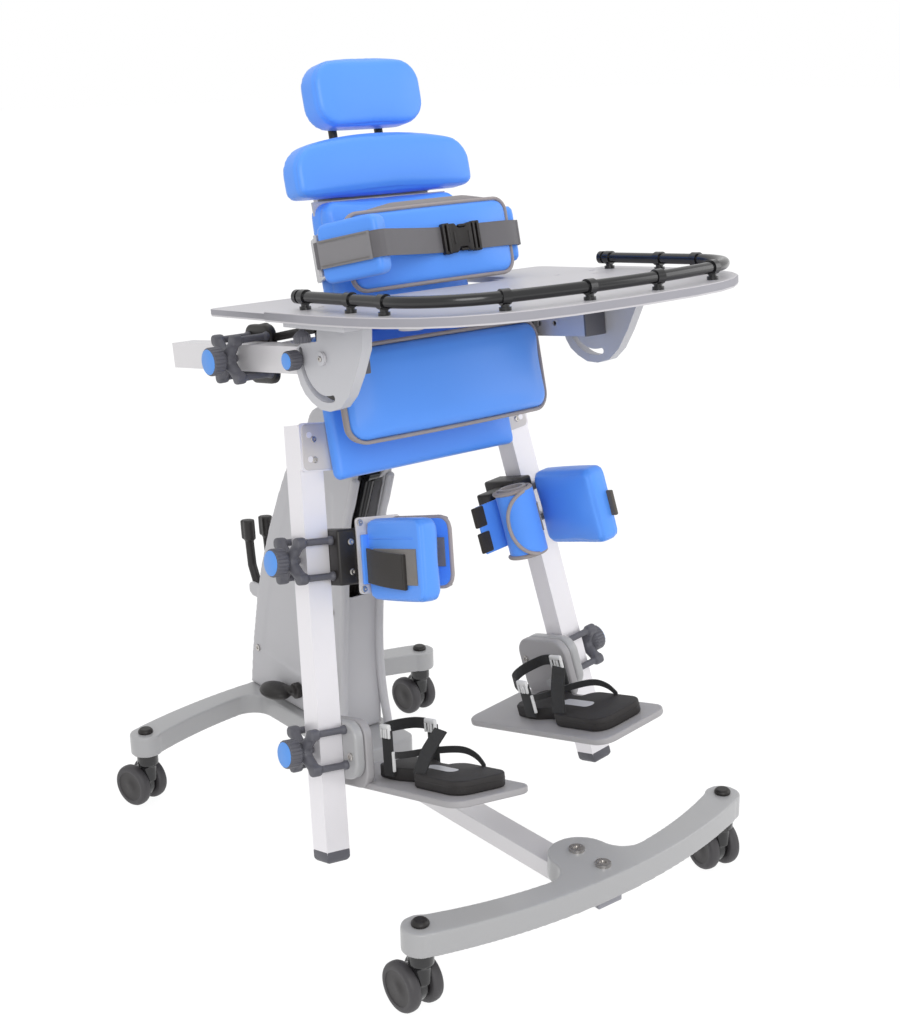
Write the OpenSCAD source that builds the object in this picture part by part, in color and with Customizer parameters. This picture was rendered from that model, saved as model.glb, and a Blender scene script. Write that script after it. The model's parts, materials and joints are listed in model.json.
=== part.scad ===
// Standing frame: castor base, leaning tower, tilting body frame, legs, knee and foot supports, tray.
// Millimetres, floor at z = 0, front of the frame towards -y, the user's left towards +x.

/* [Base] */
// Half distance between the castor stems across the frame
castor_x = 267; // [230:1:300]
// Half distance between the castor stems along the frame
castor_y = 356; // [320:1:380]
// Castor wheel diameter
wheel_d = 66; // [50:1:100]
// Width of one castor wheel
wheel_w = 17; // [14:1:24]
// Distance from castor stem to castor axle
castor_trail = 18; // [14:1:34]
// Underside of the foot castings
cast_z0 = 88; // [80:1:96]
// Top of the foot castings
cast_z1 = 121; // [110:1:130]
// Width of the base beam
beam_w = 40; // [30:1:60]
// Underside of the base beam
beam_z0 = 70; // [60:1:80]
// Top of the base beam
beam_z1 = 95; // [90:1:105]

/* [Tower] */
// Half width of the tower
tower_hw = 36; // [32:1:48]
// Tilt pivot, distance behind the middle of the base
pivot_y = 135; // [120:1:150]
// Tilt pivot height
pivot_z = 592; // [580:1:604]
// Radius of the rounded tower head
head_r = 44; // [38:1:48]
// Diameter of the tilt pivot pin
pivot_d = 20; // [16:1:26]
// Half width of the front slot
slot_hw = 23; // [22:1:26]

/* [Body] */
// Tilt of the body from upright
body_tilt = 13.6; // [0:0.1:30]
// Body origin, distance behind the middle of the base
body_y = 11.6; // [0:0.1:40]
// Body origin height, the top of the leg tubes
body_z = 659.5; // [600:0.5:720]
// Side bar slope, front end up
bar_slope = 7; // [0:0.5:14]
// Rear end of the side bars, distance behind the middle of the base
bar_y = 278; // [260:1:290]
// Rear end of the side bars, height over the body origin
bar_rise = 61.5; // [55:0.5:68]
// Half distance between the side bar centres
bar_x = 196; // [180:1:220]
// Side bar length
bar_len = 438; // [400:1:520]
// Side bar and leg tube outside width
tube_w = 35; // [30:1:40]
// Side bar and leg tube wall
tube_t = 2.5; // [2:0.1:4]
// Back of the hip and back cushions, in front of the leg tube centres
back_y = -22; // [-30:0.5:-22]

/* [Legs] */
// Half distance between the leg tube tops
leg_x = 171.5; // [150:0.5:200]
// Leg spread
leg_spread = 6.8; // [0:0.1:15]
// Leg tube length
leg_len = 566; // [500:1:620]
// Right knee clamp below the leg top
knee_r = 178; // [130:1:230]
// Left knee clamp below the leg top
knee_l = 172; // [130:1:230]
// Right foot clamp below the leg top
foot_r = 430; // [380:1:470]
// Left foot clamp below the leg top
foot_l = 408; // [380:1:470]
// Right knee cushion, distance inward from the tube centre
kneepad_r = 61; // [-14:1:70]
// Left knee cushion, distance inward from the tube centre
kneepad_l = -11; // [-14:1:70]
// Foot plate width
plate_w = 128; // [110:1:150]
// Foot plate length
plate_l = 305; // [240:1:360]

/* [Tray] */
// Tray slope, front end up
tray_slope = 4.5; // [0:0.5:12]
// Tray top over the middle of the base, height over the body origin
tray_rise = 169.5; // [150:0.5:200]
// Tray board thickness
tray_t = 12; // [8:1:16]
// Tray pivot, in front of the middle of the base
tray_pivot_y = -135; // [-150:1:-120]
// Tray pivot, height over the body origin
tray_pivot_rise = 118.5; // [100:0.5:130]
// Radius of the arc slot in the tray brackets
arc_r = 50; // [46:1:54]
// Tray rail tube diameter
rail_d = 14; // [10:1:18]
// Height of the rail centre over the tray
rail_h = 15; // [12:1:24]

/* [Hidden] */
$fn = 48;
run = 0.05;
gap = 0.5;
tray_z = body_z + tray_rise;
tray_pivot_z = body_z + tray_pivot_rise;

light = [0.76, 0.77, 0.79];
cast = [0.72, 0.73, 0.74];
alu = [0.86, 0.85, 0.87];
dark = [0.12, 0.12, 0.13];
slate = [0.33, 0.34, 0.38];
blue = [0.33, 0.60, 0.97];
strapgrey = [0.45, 0.45, 0.48];

// Frames shared by the sub-parts
module body_frame() translate([0, body_y, body_z]) rotate([-body_tilt, 0, 0]) children();
module other_side(left) mirror([left ? 1 : 0, 0, 0]) children();
module leg_frame(left) body_frame() other_side(left)
  translate([-leg_x, 0, 0]) rotate([0, leg_spread, 0]) children();
module bar_frame() translate([0, bar_y, body_z + bar_rise]) rotate([-bar_slope, 0, 0]) children();
module tray_frame() translate([0, tray_pivot_y, tray_z - tan(tray_slope) * tray_pivot_y])
  rotate([-tray_slope, 0, 0]) children();

// Helpers: cylinders along x and y, a stroke drawn along points, a rounded box outline
module xcyl(d, x0, x1) translate([x0, 0, 0]) rotate([0, 90, 0]) cylinder(d = d, h = x1 - x0);
module ycyl(d, y0, y1) translate([0, y0, 0]) rotate([-90, 0, 0]) cylinder(d = d, h = y1 - y0);
module stroke(pts, w) for (i = [0 : len(pts) - 2]) {
  v = pts[i + 1] - pts[i];
  translate(pts[i]) rotate(atan2(v[1], v[0])) translate([0, -w / 2]) square([norm(v), w]);
  if (i > 0) translate(pts[i]) circle(d = w);
}
module round_rect(x0, x1, y0, y1, r) union() {
  translate([x0 + r, y0]) square([x1 - x0 - 2 * r, y1 - y0]);
  translate([x0, y0 + r]) square([x1 - x0, y1 - y0 - 2 * r]);
  for (x = [x0 + r, x1 - r], y = [y0 + r, y1 - r]) translate([x, y]) circle(r);
}
module rod_between(a, b, d) {
  v = b - a;
  translate(a) rotate([0, acos(v[2] / norm(v)), atan2(v[1], v[0])]) cylinder(d = d, h = norm(v));
}

// Cushion: crowned front towards -y, drawn-in sides, flat back at y = 0
function rr_point(w, h, r, i, n) = let (
    q = floor(4 * i / n), a = 90 * (4 * i / n - q) + 90 * q,
    cx = (q == 0 || q == 3) ? w / 2 - r : r - w / 2,
    cz = (q == 0 || q == 1) ? h / 2 - r : r - h / 2)
  [cx + r * cos(a), cz + r * sin(a)];
CUSHION_RINGS = [[0.55, 0], [0.93, 0], [1, 0.16], [0.982, 0.38], [1, 0.6], [0.965, 0.78],
  [0.86, 0.9], [0.62, 0.97], [0.3, 1]];
module cushion(w, h, t, r, arch = 0, bow = 0, n = 32) {
  m = len(CUSHION_RINGS);
  function lift(x, z) = arch * (1 - pow(2 * x / w, 2)) * (0.5 + z / h);
  function back(x) = bow * pow(2 * x / w, 2);
  pts = concat([[0, back(0), lift(0, 0)]],
    [for (k = [0 : m - 1], i = [0 : n - 1]) let (p = rr_point(w, h, r, i, n) * CUSHION_RINGS[k][0])
      [p[0], back(p[0]) - t * CUSHION_RINGS[k][1], p[1] + lift(p[0], p[1])]],
    [[0, back(0) - t, lift(0, 0)]]);
  top = m * n + 1;
  polyhedron(points = pts, faces = concat(
    [for (i = [0 : n - 1]) [0, 1 + i, 1 + (i + 1) % n]],
    [for (k = [0 : m - 2], i = [0 : n - 1])
      [1 + k * n + i, 1 + (k + 1) * n + i, 1 + (k + 1) * n + (i + 1) % n]],
    [for (k = [0 : m - 2], i = [0 : n - 1])
      [1 + k * n + i, 1 + (k + 1) * n + (i + 1) % n, 1 + k * n + (i + 1) % n]],
    [for (i = [0 : n - 1]) [top, 1 + (m - 1) * n + (i + 1) % n, 1 + (m - 1) * n + i]]));
}

// Base
module crescent() {
  difference() {
    translate([0, 96]) intersection() {
      translate([0, castor_y]) circle(876, $fn = 180);
      translate([-castor_x, -780 + castor_y - 96 - 96]) square([2 * castor_x, 400]);
    }
    translate([0, 300]) circle(686, $fn = 180);
  }
  for (s = [-1, 1]) translate([s * castor_x, -castor_y]) circle(24.6);
}
module neck(hw, y_end) {
  translate([-hw, -395]) square([2 * hw, 395 + y_end]);
  c = [hw + 34, 300 - sqrt(652 * 652 - (hw + 34) * (hw + 34))];
  for (s = [-1, 1]) difference() {
    translate([s > 0 ? hw - 1 : -hw - 37, c[1] - 44]) square([38, 44]);
    translate([s * c[0], c[1]]) circle(34);
  }
}
module stem_bores() for (s = [-1, 1]) translate([s * castor_x, -castor_y]) circle(d = 12 + 2 * run);
module front_foot() color(cast) difference() {
  translate([0, 0, cast_z0]) linear_extrude(cast_z1 - cast_z0) difference() {
    union() {
      crescent();
      neck(44, -352);
      translate([0, -352]) circle(44);
    }
    stem_bores();
  }
  translate([-beam_w / 2, -500, cast_z0 - 1]) cube([beam_w, 400, beam_z1 - cast_z0 + 1]);
}
module rear_foot() color(cast) difference() {
  translate([0, 0, cast_z0]) linear_extrude(cast_z1 - cast_z0) mirror([0, 1]) difference() {
    union() {
      crescent();
      neck(50, -100);
      translate([0, -100]) round_rect(-50, 50, -20, 26, 18);
    }
    stem_bores();
  }
  translate([-beam_w / 2, 0, cast_z0 - 1]) cube([beam_w, 352, beam_z1 - cast_z0 + 1]);
}
module base_beam() {
  color(alu) difference() {
    translate([-beam_w / 2, -402, beam_z0]) cube([beam_w, 754, beam_z1 - beam_z0]);
    translate([-beam_w / 2 + tube_t, -420, beam_z0 + tube_t])
      cube([beam_w - 2 * tube_t, 800, beam_z1 - beam_z0 - 2 * tube_t]);
  }
  color(slate) translate([-beam_w / 2, -408, beam_z0]) cube([beam_w, 6, beam_z1 - beam_z0]);
  color(slate) translate([-beam_w / 2 + tube_t, -402, beam_z0 + tube_t])
    cube([beam_w - 2 * tube_t, 20, beam_z1 - beam_z0 - 2 * tube_t]);
}
module screw_head(d, h) {
  difference() {
    cylinder(d = d, h = h);
    translate([0, 0, h - 1.5]) cylinder(d = d * 0.45, h = 3);
  }
}
module chassis_screws() color(alu) {
  for (y = [-344, -394]) translate([0, y, cast_z1]) screw_head(21, 4);
  for (s = [-1, 1], p = [[160, 152], [166, 318], [392, 192]])
    translate([s * tower_hw, p[0], p[1]]) rotate([0, 90 * s, 0]) screw_head(11, 2.5);
}
module castor_caps() color(dark)
  for (sx = [-1, 1], sy = [-1, 1]) translate([sx * castor_x, sy * castor_y, cast_z1]) {
    cylinder(d = 23, h = 4);
    translate([0, 0, 4]) cylinder(d1 = 23, d2 = 17, h = 3);
  }

// Castors: the fork turns on its stem, the pair of wheels on the axle
module castor_at(sx, sy, yaw) translate([sx * castor_x, sy * castor_y, 0]) rotate(yaw) children();
module castor_fork() color(dark) {
  translate([0, 0, 84]) cylinder(d = 12, h = 33);
  translate([0, 0, wheel_d + 2]) cylinder(d = 26, h = cast_z0 - gap - wheel_d - 2);
  difference() {
    union() {
      translate([castor_trail, 8, wheel_d / 2]) rotate([90, 0, 0]) cylinder(r = 26, h = 16);
      translate([-11, -8, 40]) cube([castor_trail + 11, 16, wheel_d - 34]);
    }
    translate([castor_trail, 20, wheel_d / 2]) rotate([90, 0, 0]) cylinder(d = 8 + 2 * run, h = 40);
  }
}
module castor_wheels() {
  translate([castor_trail, 0, wheel_d / 2]) rotate([90, 0, 0]) {
    color(slate) translate([0, 0, -10]) cylinder(d = 8, h = 20);
    for (s = [0, 1]) mirror([0, 0, s]) color(slate) translate([0, 0, 8.6]) rotate_extrude() union() {
      square([wheel_d / 2 - 5, wheel_w]);
      translate([0, 5]) square([wheel_d / 2, wheel_w - 10]);
      for (z = [5, wheel_w - 5]) translate([wheel_d / 2 - 5, z]) circle(5);
    }
  }
}
yaw_fr = 91;
yaw_fl = 80;
yaw_rr = 106;
yaw_rl = 96;
module castor_fork_fr() castor_at(-1, -1, yaw_fr) castor_fork();
module castor_fork_fl() castor_at(1, -1, yaw_fl) castor_fork();
module castor_fork_rr() castor_at(-1, 1, yaw_rr) castor_fork();
module castor_fork_rl() castor_at(1, 1, yaw_rl) castor_fork();
module castor_wheels_fr() castor_at(-1, -1, yaw_fr) castor_wheels();
module castor_wheels_fl() castor_at(1, -1, yaw_fl) castor_wheels();
module castor_wheels_rr() castor_at(-1, 1, yaw_rr) castor_wheels();
module castor_wheels_rl() castor_at(1, 1, yaw_rl) castor_wheels();

// Tower: hollow shell with a front slot, solid head round the tilt pivot
TOWER_FRONT = [[147, cast_z1], [146, 250], [139, 334], [127, 459], [113, 500], [99, 540], [91, 572],
  [91, 598]];
TOWER_REAR = [[206, 612], [240, 571], [284, 516], [308, 474], [339, 415], [371, 341], [391, 278],
  [414, 182], [424, cast_z1]];
module tower_outline() {
  polygon(concat(TOWER_FRONT,
    [[pivot_y - 25, pivot_z + 36], [pivot_y, pivot_z + head_r], [172, pivot_z + head_r]], TOWER_REAR));
  translate([172, pivot_z]) circle(head_r);
}
module tower_inside() polygon([[153, 126], [152, 250], [145, 334], [133, 459], [120, 500], [108, 532],
  [200, 548], [230, 565], [276, 511], [300, 470], [331, 411], [362, 338], [383, 276], [406, 182],
  [415, 126]]);
RECESS = [[172, 178], [171, 260], [165, 340], [153, 462], [152, 508], [258, 508], [310, 405], [352, 300],
  [382, 190]];
module side_profile(hw) translate([-hw, 0, 0]) rotate([90, 0, 90]) linear_extrude(2 * hw) children();
LEVER_Y = 412;
LEVER_Z = 288;
PEDAL_Y = 268;
PEDAL_Z = 158;
module tower_shell() color(light) {
  difference() {
    side_profile(tower_hw) tower_outline();
    side_profile(tower_hw - 6) tower_inside();
    // front slot and the room for the strut head inside the tower head
    translate([-slot_hw, 60, 345]) cube([2 * slot_hw, 100, 222]);
    translate([-slot_hw, 60, 560]) cube([2 * slot_hw, pivot_y - 22 - 60, 120]);
    translate([0, pivot_y, pivot_z]) xcyl(pivot_d + 2 * run, -80, 80);
    // recessed panel on each side
    for (s = [-1, 1]) translate([s > 0 ? tower_hw - 1.5 : -tower_hw - 1, 0, 0])
      rotate([90, 0, 90]) linear_extrude(2.5) polygon(RECESS);
    // pedal pin bore
    translate([0, PEDAL_Y, PEDAL_Z]) xcyl(10 + 2 * run, -70, -28);
  }
  // strut foot lugs with their pin
  for (s = [-1, 1]) translate([s > 0 ? 18 : -26, STRUT_A[1] - 15, cast_z1]) cube([8, 30, 64]);
  translate(STRUT_A) xcyl(10, -20, 20);
  // lever lugs and pin at the rear
  for (s = [-1, 1]) translate([s > 0 ? 24 : -30, 378, LEVER_Z - 13]) cube([6, LEVER_Y - 378, 26]);
  for (s = [-1, 1]) translate([s > 0 ? 24 : -30, LEVER_Y, LEVER_Z]) xcyl(26, 0, 6);
  translate([0, LEVER_Y, LEVER_Z]) xcyl(8, -26, 26);
}

// Pedal on the right side of the tower
module foot_pedal() color(dark) translate([0, PEDAL_Y, PEDAL_Z]) {
  xcyl(10, -40, -29);
  xcyl(28, -48, -tower_hw - gap);
  translate([-48, 0, -9]) cube([10, 56, 16]);
  translate([-78, 40, -16]) cube([38, 44, 12]);
  translate([-78, 72, -18]) cube([38, 14, 24]);
}

// Twin-grip release lever behind the tower
module release_lever() color(dark) translate([0, LEVER_Y, LEVER_Z]) difference() {
  union() {
    xcyl(20, -23.4, 23.4);
    for (s = [-1, 1]) translate([s * 17, 0, 0]) {
      rod_between([0, 2, 2], [0, 19, 36], 11);
      rod_between([0, 17, 32], [0, 24, 84], 11);
      rod_between([0, 23, 78], [0, 27, 110], 20);
    }
  }
  xcyl(8 + 2 * run, -40, 40);
}

// Tilt strut between tower foot and body frame
STRUT_A = [0, 250, 172];
STRUT_B = [0, 105, 545];
strut_lean = atan2(STRUT_A[1] - STRUT_B[1], STRUT_B[2] - STRUT_A[2]);
strut_len = norm(STRUT_B - STRUT_A);
module strut_frame() translate(STRUT_A) rotate([strut_lean, 0, 0]) children();
module strut_cylinder() color(dark) strut_frame() difference() {
  union() {
    xcyl(30, -17.4, 17.4);
    translate([0, 0, 12]) cylinder(d = 30, h = 12);
    translate([0, 0, 22]) cylinder(d = 42, h = 238);
  }
  xcyl(10 + 2 * run, -40, 40);
  translate([0, 0, 40]) cylinder(d = 20 + 2 * run, h = 300);
}
module strut_rod() color(alu) strut_frame() difference() {
  union() {
    translate([0, 0, 150]) cylinder(d = 20, h = strut_len - 160);
    translate([0, 0, strut_len]) xcyl(26, -9, 9);
  }
  translate([0, 0, strut_len]) xcyl(10, -40, 40);
}

// Body frame weldment: pivot fork, cross bar, uprights, back board, rod guides, lateral arms
LEG_PIVOT_X = 128.4;
LEG_PIVOT_Z = -35.4;
PIV_Y = (pivot_y - body_y) * cos(body_tilt) + (body_z - pivot_z) * sin(body_tilt);
PIV_Z = (pivot_y - body_y) * sin(body_tilt) - (body_z - pivot_z) * cos(body_tilt);
ROD_X = 38;
ROD_Y = 11;
LAT_R = [-170, -103];
LAT_L = [172, -38];
LAT_TURN = 20;
module lateral_frame_r() translate([LAT_R[0], LAT_R[1], 209]) rotate(LAT_TURN) children();
module lateral_frame_l() translate([LAT_L[0], LAT_L[1], 209])
  rotate(-LAT_TURN) mirror([1, 0, 0]) children();
function lat_r(p) = LAT_R + [p[0] * cos(LAT_TURN) - p[1] * sin(LAT_TURN),
  p[0] * sin(LAT_TURN) + p[1] * cos(LAT_TURN)];
function lat_l(p) = LAT_L + [p[1] * sin(LAT_TURN) - p[0] * cos(LAT_TURN),
  p[0] * sin(LAT_TURN) + p[1] * cos(LAT_TURN)];
module backrest_frame() color(light) body_frame() {
  difference() {
    union() {
      translate([-146, -17, LEG_PIVOT_Z - 17]) cube([292, 35, 34]);
      for (s = [-1, 1]) translate([s > 0 ? tower_hw + 2 : -tower_hw - 10, 0, 0]) {
        translate([0, PIV_Y, PIV_Z]) xcyl(50, 0, 8);
        rotate([90, 0, 90]) linear_extrude(8) stroke([[10, LEG_PIVOT_Z], [PIV_Y, PIV_Z]], 31);
      }
      translate([0, PIV_Y, PIV_Z]) xcyl(pivot_d, -tower_hw - 6, tower_hw + 6);
      for (s = [-1, 1]) translate([s * 80, -6.5, -25]) cylinder(d = 25, h = 311);
      translate([-BOARD_HW, back_y, 12]) cube([2 * BOARD_HW, 4, 274]);
      translate([-178.5, back_y + 4, 84]) cube([357, 28, 28]);
      translate([-92, -10, 290]) cube([184, 4, 66]);
      for (s = [-1, 1]) translate([s * ROD_X - 14, -7, 296]) cube([28, 32, 40]);
      translate([-92, -7, 268]) cube([184, 10, 60]);
      // strut lug beside the rod eye
      translate([11, 0, 0]) lug_plate();
    }
    for (s = [-1, 1]) translate([s * ROD_X, ROD_Y, 200]) cylinder(d = 12 + 2 * run, h = 200);
    for (s = [-1, 1]) translate([s * LEG_PIVOT_X, 0, LEG_PIVOT_Z]) ycyl(12 + 2 * run, -40, 40);
  }
}
module lug_plate() {
  // plate in the body frame whose lower end sits beside the strut eye
  b = [(STRUT_B[1] - body_y) * cos(body_tilt) - (STRUT_B[2] - body_z) * sin(body_tilt),
    (STRUT_B[1] - body_y) * sin(body_tilt) + (STRUT_B[2] - body_z) * cos(body_tilt)];
  rotate([90, 0, 90]) linear_extrude(8) {
    stroke([[10, LEG_PIVOT_Z], b], 22);
    translate(b) circle(11);
  }
}

// Brackets of the chest laterals on the back of the board
LAT_H = 56;
BOARD_HW = 110;
module lateral_arm(a, b) {
  v = b - a;
  translate([a[0], a[1], 181]) rotate(atan2(v[1], v[0])) translate([0, -2.5, 0]) cube([norm(v), 5, LAT_H]);
}
module chest_brackets() color(light) body_frame() {
  for (s = [-1, 1]) translate([s > 0 ? BOARD_HW - 15 : -BOARD_HW - 8, back_y + 4, 183])
    cube([23, 4.5, LAT_H - 4]);
  lateral_arm([-BOARD_HW - 6, back_y + 6.25], lat_r([15, 1]));
  lateral_arm([BOARD_HW + 6, back_y + 6.25], lat_l([15, 1]));
  lateral_frame_r() lateral_end_plate();
  lateral_frame_l() lateral_end_plate();
}
module lateral_end_plate() translate([2, -1.9, 2 - LAT_H / 2]) cube([26, 4, LAT_H - 4]);
KNOB_Y = tray_pivot_y + arc_r * cos(-9);
KNOB_Z = tray_pivot_z + arc_r * sin(-9);
module bar_tube() translate([-bar_x, 0, 0]) difference() {
  translate([-tube_w / 2, -bar_len, -tube_w / 2]) cube([tube_w, bar_len, tube_w]);
  translate([-tube_w / 2 + tube_t, -bar_len - 1, -tube_w / 2 + tube_t])
    cube([tube_w - 2 * tube_t, bar_len + 2, tube_w - 2 * tube_t]);
  for (y = [60, 92]) translate([0, -bar_len + y, 0]) xcyl(7, 10, 25);
}
module bar_plug(y, l) translate([-bar_x - tube_w / 2 + tube_t, y, -tube_w / 2 + tube_t])
  cube([tube_w - 2 * tube_t, l, tube_w - 2 * tube_t]);
module side_bars() for (left = [false, true]) other_side(left) {
  color(alu) difference() {
    bar_frame() bar_tube();
    translate([0, KNOB_Y, KNOB_Z]) xcyl(6.6 + 2 * run, -230, -200);
    translate([0, tray_pivot_y, tray_pivot_z]) xcyl(10 + 2 * run, -230, -200);
  }
  color(slate) bar_frame() {
    translate([-bar_x - tube_w / 2, -bar_len - 4, -tube_w / 2]) cube([tube_w, 4, tube_w]);
    bar_plug(-bar_len, 10);
    bar_plug(-18, 16);
  }
  // pin that carries the tray bracket, riveted in its bore in the bar
  color(alu) translate([0, tray_pivot_y, tray_pivot_z]) {
    xcyl(10, BR_X0 - 3, -bar_x - tube_w / 2 + tube_t + 3);
    xcyl(16, BR_X0 - 4, BR_X0 - gap);
    xcyl(16, -bar_x - tube_w / 2 + tube_t + run, -bar_x - tube_w / 2 + tube_t + 4);
  }
}

// Cushions on the body frame
module hip_cushion() color(blue) body_frame() translate([0, back_y, 16]) cushion(308, 196, 20, 10);
module back_cushion() color(blue) body_frame() translate([0, back_y, 201]) cushion(208, 168, 30, 18);
module shoulder_cushion() color(blue) body_frame() translate([0, -10, 321])
  cushion(290, 66, 42, 28, arch = 18);
module head_cushion() color(blue) body_frame() translate([0, 1, 420]) cushion(176, 92, 43, 30, arch = 5);

// Chest support: front pad, two laterals, belt with buckle
CHEST_TURN = -7;
module chest_pad() color(blue) body_frame() translate([0, -118, 207])
  rotate(CHEST_TURN) cushion(244, 100, 16, 18, bow = 10);
module lateral_pad() translate([0, -50, 0]) rotate(90) cushion(96, 78, 30, 12);
module chest_lateral_r() color(blue) body_frame() lateral_frame_r() lateral_pad();
module chest_lateral_l() color(blue) body_frame() lateral_frame_l() lateral_pad();
function turned(p) = [p[0] * cos(CHEST_TURN) - p[1] * sin(CHEST_TURN),
  p[0] * sin(CHEST_TURN) + p[1] * cos(CHEST_TURN) - 118];
BELT = [lat_r([-1.4, -3]), lat_r([-1.4, -95]), lat_r([4, -99.6]),
  lat_r([19, -99.6]), turned([-30, -17]), turned([30, -17]), turned([60, -15]), turned([100, -9.8]),
  turned([119, -5]), lat_l([4, -99.8]), lat_l([-1.4, -95]), lat_l([-1.4, -3])];
module chest_belt() color(strapgrey) body_frame() translate([0, 0, 192])
  linear_extrude(33) stroke(BELT, 2.2);
module buckle_at() body_frame() translate([0, -118, 208.5])
  rotate(CHEST_TURN) translate([30, -18.3, 0]) children();
module belt_buckle() color(dark) buckle_at() {
  difference() {
    translate([-27, -9, -20]) cube([54, 9, 40]);
    translate([-6, -10, 15]) cube([22, 20, 10]);
    translate([-6, -10, -25]) cube([22, 20, 10]);
  }
  translate([-27, -12, -19]) cube([10, 4, 38]);
  translate([17, -12, -19]) cube([10, 4, 38]);
}

// Head support rods with their mounting plate
module head_rods() color(dark) body_frame() {
  for (s = [-1, 1]) translate([s * ROD_X, ROD_Y, 235]) cylinder(d = 12, h = 215);
  translate([-56, 1, 392]) cube([112, 5, 58]);
  for (s = [-1, 1]) translate([s * ROD_X - 10, 5, 400]) cube([20, 14, 42]);
}

// Leg tubes with hip plate, pivot stud and end cap
module leg_tube(left) leg_frame(left) {
  color(alu) difference() {
    translate([-tube_w / 2, -tube_w / 2, -leg_len]) cube([tube_w, tube_w, leg_len]);
    translate([-tube_w / 2 + tube_t, -tube_w / 2 + tube_t, -leg_len - 1])
      cube([tube_w - 2 * tube_t, tube_w - 2 * tube_t, leg_len - 2]);
  }
  color(alu) {
    translate([0, -tube_w / 2, 0]) rotate([90, 0, 0])
      linear_extrude(3.8) round_rect(-17.5, 75, -62, 2, 6);
    translate([47, 0, -30]) ycyl(12, -19, 16);
    for (z = [-14, -46]) translate([-4, -tube_w / 2 - 3.8, z]) rotate([90, 0, 0]) cylinder(d = 8, h = 2);
  }
  color(slate) translate([-tube_w / 2, -tube_w / 2, -leg_len - 16]) cube([tube_w, tube_w, 16]);
  color(slate) translate([-tube_w / 2 + tube_t, -tube_w / 2 + tube_t, -leg_len])
    cube([tube_w - 2 * tube_t, tube_w - 2 * tube_t, 14]);
}
module leg_tube_r() leg_tube(false);
module leg_tube_l() leg_tube(true);

// Tube clamp: four rods round the tube, outer yoke and inner block, tube along z, outside at -x
ROD_DY = 25;
ROD_DZ = 23.5;
module clamp_yoke() {
  for (sy = [-1, 1], sz = [-1, 1]) {
    translate([0, sy * ROD_DY, sz * ROD_DZ]) xcyl(10, -30, 19);
    translate([0, sy * ROD_DY, sz * ROD_DZ]) xcyl(15, -37, -25);
    a = atan2(sz * ROD_DZ, sy * ROD_DY);
    rotate([a, 0, 0]) translate([-36, 0, -6]) cube([10.4, 31, 12]);
  }
  xcyl(30, -38, -24);
}
module knob_bore() xcyl(10 + 2 * run, -60, -18);
module knob() {
  xcyl(10, -42, -19);
  xcyl(34, -62, -40);
  for (a = [0 : 20 : 340]) rotate([a, 0, 0]) translate([0, 17, 0]) xcyl(4, -59, -42);
}

// Knee support: clamp with arm plate, lateral cushion and strap
module knee_at(left) leg_frame(left) translate([0, 0, left ? -knee_l : -knee_r]) children();
module knee_clamp(left) knee_at(left) {
  plate0 = left ? -14 : 54;
  color(slate) difference() {
    clamp_yoke();
    knob_bore();
  }
  color(dark) translate([18, -40, -37]) cube([42, 70, 74]);
  color(dark) translate([60, -34, -30]) cube([36, 30, 60]);
  color(alu) {
    translate([0, -40, 0]) rotate([90, 0, 0]) linear_extrude(3) round_rect(plate0, 118, -51, 51, 8);
    for (z = [-20, 20]) translate([left ? 30 : 46, left ? -43 : -40, z])
      rotate([90, 0, 0]) cylinder(d = 9, h = 2.5);
  }
}
module knee_clamp_r() knee_clamp(false);
module knee_clamp_l() knee_clamp(true);
module knee_cushion(left) color(blue) knee_at(left) translate([left ? kneepad_l : kneepad_r, -43, -6])
  translate([0, -61, 0]) rotate(90) cushion(122, 106, 31, 12);
module knee_cushion_r() knee_cushion(false);
module knee_cushion_l() knee_cushion(true);
module knee_strap(left) color(blue) knee_at(left) translate([0, 0, -48]) linear_extrude(94)
  if (left) difference() {
    translate([82, -80]) circle(37);
    translate([82, -80]) circle(29);
  } else stroke([[108, -43], [108, -62], [118, -92], [138, -126]], 9);
module knee_strap_r() knee_strap(false);
module knee_strap_l() knee_strap(true);
module knee_knob_r() color(slate) knee_at(false) knob();
module knee_knob_l() color(slate) knee_at(true) knob();

// Foot support: clamp with ankle disc, tilting foot plate, sandal
module foot_at(left) leg_frame(left) translate([0, 0, left ? -foot_l : -foot_r]) children();
ANKLE_Z = -30;
ANKLE_Y = -8;
PLATE_Z = -50;
PLATE_BACK = 70;
ANKLE_PLATE_Y = [-48, 58];
ANKLE_X = 34;
module ankle_plate(t, z0) rotate([90, 0, 90]) linear_extrude(t)
  round_rect(ANKLE_PLATE_Y[0], ANKLE_PLATE_Y[1], z0, 34, 24);
module foot_clamp(left) foot_at(left) {
  color(slate) difference() {
    clamp_yoke();
    knob_bore();
  }
  color(cast) translate([18, 0, 0]) ankle_plate(15.5, -44);
  color(cast) translate([0, ANKLE_Y, ANKLE_Z]) rotate([25, 0, 0]) xcyl(12, 32, 56);
}
module foot_clamp_r() foot_clamp(false);
module foot_clamp_l() foot_clamp(true);
module foot_knob_r() color(slate) foot_at(false) knob();
module foot_knob_l() color(slate) foot_at(true) knob();
module footplate(left) color(light) foot_at(left) {
  difference() {
    translate([ANKLE_X, 0, 0]) ankle_plate(13, PLATE_Z - 8);
    translate([0, ANKLE_Y, ANKLE_Z]) xcyl(12 + 2 * run, 20, 80);
  }
  translate([0, 0, PLATE_Z - 9]) linear_extrude(9)
    round_rect(38.5, 38.5 + plate_w, PLATE_BACK - plate_l, PLATE_BACK, 18);
  translate([102, -150, PLATE_Z - 19]) cylinder(d = 26, h = 10);
}
module footplate_r() footplate(false);
module footplate_l() footplate(true);
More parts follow.
